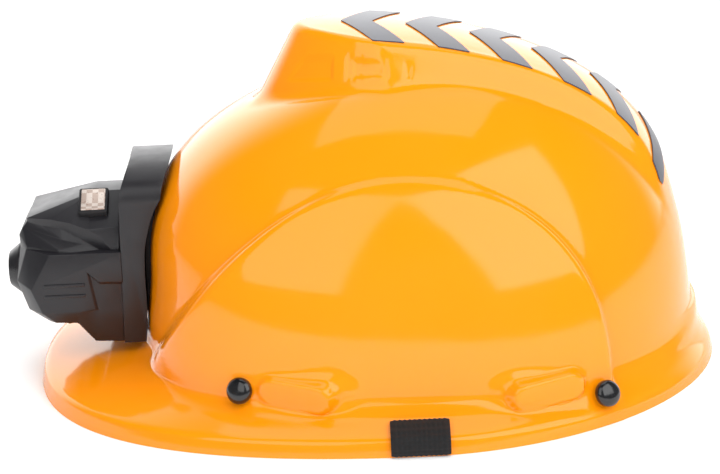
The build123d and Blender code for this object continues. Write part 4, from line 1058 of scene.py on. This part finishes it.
# Crown straps and brow pad follow the CAD solids, found by rays through them.
def between(tree, start, way, far=0.25):
    """Near and far distance, in millimetres, of a solid along a ray, or nothing."""
    start, way = Vector(np.array(start) * MM), Vector(way)
    near = tree.ray_cast(start, way, far)
    back = tree.ray_cast(start + way * far, -way, far)
    if near[0] is None or back[0] is None:
        return None
    return near[3] / MM, (far - back[3]) / MM


strap_ribs = 10
strap_foot = 15.0
strap_crown = 70.0


def crown_strap(name):
    """Woven strap along a CAD strap, as wide and as thick as it is on the crown."""
    solid = np.array([v.co for v in nodes[name].data.vertices]) / MM
    plan = solid[:, :2]
    middle = np.array([0.0, (plan[:, 1].min() + plan[:, 1].max()) / 2])
    spread = (plan - middle).T @ (plan - middle)
    axis = np.linalg.eigh(spread)[1][:, 1]
    across = np.array([-axis[1], axis[0], 0.0])
    tree = node_tree(name)
    start = np.array([middle[0], middle[1], strap_foot])
    path, thick = [], []
    for angle in np.radians(np.linspace(0.5, 179.5, 180)):
        way = np.array([axis[0] * math.cos(angle), axis[1] * math.cos(angle), math.sin(angle)])
        found = between(tree, start, way)
        if found:
            path.append(start + way * sum(found) / 2)
            thick.append(found[1] - found[0])
    crown = plan[solid[:, 2] > strap_crown] - middle
    width = 2 * np.percentile(np.abs(crown @ across[:2]), 90)
    thickness = float(np.median(thick))
    ribbon(name + "_look", np.array(path), across, width, thickness, name, strap_ribs)


crown_strap("crown_strap_a")
crown_strap("crown_strap_b")

pad_half_turn = 75
pad_steps = 181
pad_ring = 28
pad_puffs = 7
pad_pinch_share = 0.16
pad_pinch_power = 12
pad_end_power = 14
pad_end_least = 0.02
pad_face_power = 0.7
pad_edge_power = 0.55


def pad_section(way, near, away, level, half_height, share):
    """Rounded section of the pad at a share of its length, thinner at each stitch."""
    taper = math.sqrt(max(1 - (2 * abs(share - 0.5)) ** pad_end_power, pad_end_least))
    puff = 1 - pad_pinch_share * abs(math.cos(math.pi * share * pad_puffs)) ** pad_pinch_power
    section = []
    for j in range(pad_ring):
        angle = 2 * math.pi * j / pad_ring
        c, s = math.cos(angle), math.sin(angle)
        c = math.copysign(abs(c) ** pad_face_power, c)
        s = math.copysign(abs(s) ** pad_edge_power, s)
        reach = (near + away) / 2 + (away - near) / 2 * c * taper * puff
        section.append(centre + way * reach + [0, 0, level + s * half_height * taper])
    return section


def brow_cushion():
    """Soft sweat pad: a filled band with pinched stitching, along the CAD pad."""
    tree = node_tree("brow_pad")
    heights = np.array([v.co.z for v in nodes["brow_pad"].data.vertices]) / MM
    bottom, top = heights.min(), heights.max()
    level, half_height = (top + bottom) / 2, (top - bottom) / 2
    found = []
    for angle in np.radians(np.linspace(-pad_half_turn, pad_half_turn, pad_steps)):
        way = np.array([math.sin(angle), -math.cos(angle), 0.0])
        hit = between(tree, (0, centre[1], level), way)
        if hit and hit[1] - hit[0] > 1.0:
            found.append((way, *hit))
    points = []
    for i, (way, near, away) in enumerate(found):
        points += pad_section(way, near, away, level, half_height, i / (len(found) - 1))
    last = (len(found) - 1) * pad_ring
    loops = [list(range(pad_ring))[::-1], [last + j for j in range(pad_ring)]]
    for i in range(len(found) - 1):
        a, b = i * pad_ring, (i + 1) * pad_ring
        for j in range(pad_ring):
            n = (j + 1) % pad_ring
            loops.append((a + j, a + n, b + n, b + j))
    work = from_corners(points, loops)
    pad = new_piece("brow_pad_look", work, foam, "helmet", "brow_pad", angle=60.0)


brow_cushion()


# Studio: a pale floor, a bright sweep behind, and soft windows of light round the helmet.
floor_half = 3.0
light_target = Vector((0, 0, 0.09))
light_distance = 1.6
# Glow of the room along an axis: start and end of the change, and the level at each.
room_glow = [("X", -0.35, -0.75, 0.22, 2.6), ("Z", 0.35, 0.85, 1.0, 0.35)]
# Name, turn, rise, width and height in degrees, and strength.
windows = [
    ("window_left", -27, 36, 34, 46, 1.6),
    ("window_right", 42, 38, 48, 48, 2.4),
    ("top", 170, 75, 40, 40, 1.2),
]
# Even fill that lifts the colours and the floor and leaves no mark in the gloss.
fills = [
    ("fill_camera", 5, 22, 60, 60, 0.7),
    ("fill_above", 0, 88, 70, 70, 0.9),
    ("fill_behind", 180, 40, 60, 60, 0.5),
]


def window_light(name, turn, rise, width, height, strength):
    """Soft box seen from the helmet at a turn and rise, as wide and high as given in degrees."""
    turn, rise = math.radians(turn), math.radians(rise)
    way = Vector((math.cos(rise) * math.cos(turn), math.cos(rise) * math.sin(turn), math.sin(rise)))
    data = bpy.data.lights.new(name, "AREA")
    data.shape = "RECTANGLE"
    data.size = 2 * light_distance * math.tan(math.radians(width) / 2)
    data.size_y = 2 * light_distance * math.tan(math.radians(height) / 2)
    data.energy = strength * math.pi * data.size * data.size_y
    light = bpy.data.objects.new(name, data)
    light.location = light_target + way * light_distance
    light.rotation_euler = (-way).to_track_quat("-Z", "Y").to_euler()
    scene.collection.objects.link(light)
    return light


def lay_floor():
    work = bmesh.new()
    bmesh.ops.create_grid(work, x_segments=1, y_segments=1, size=floor_half)
    mesh = bpy.data.meshes.new("floor")
    work.to_mesh(mesh)
    work.free()
    mesh.materials.append(floor_paper)
    floor = bpy.data.objects.new("floor", mesh)
    scene.collection.objects.link(floor)


def light_room():
    """Dim room on the camera's side, bright sweep behind, and white where the camera looks."""
    world = bpy.data.worlds.new("studio")
    scene.world = world
    world.use_nodes = True
    tree = world.node_tree
    coords = add_node(tree, "ShaderNodeTexCoord", {})
    split = add_node(tree, "ShaderNodeSeparateXYZ", {"Vector": coords.outputs["Generated"]})
    glow = add_node(tree, "ShaderNodeMath", {}, operation="MULTIPLY")
    for factor, (axis, start, end, low, high) in zip(glow.inputs, room_glow):
        inputs = {
            "Value": split.outputs[axis], "From Min": start, "From Max": end,
            "To Min": low, "To Max": high,
        }
        ramp = add_node(tree, "ShaderNodeMapRange", inputs, interpolation_type="SMOOTHSTEP")
        tree.links.new(ramp.outputs["Result"], factor)
    white = (1, 1, 1, 1)
    room = tree.nodes["Background"]
    room.inputs["Color"].default_value = white
    tree.links.new(glow.outputs["Value"], room.inputs["Strength"])
    backdrop = add_node(tree, "ShaderNodeBackground", {"Color": white, "Strength": 1.0})
    seen = add_node(tree, "ShaderNodeLightPath", {}).outputs["Is Camera Ray"]
    mix = add_node(tree, "ShaderNodeMixShader", {"Fac": seen})
    tree.links.new(room.outputs["Background"], mix.inputs[1])
    tree.links.new(backdrop.outputs["Background"], mix.inputs[2])
    tree.links.new(mix.outputs["Shader"], tree.nodes["World Output"].inputs["Surface"])


lay_floor()
light_room()
for window in windows:
    window_light(*window)
for fill in fills:
    window_light(*fill).visible_glossy = False
scene.view_settings.view_transform = "Standard"
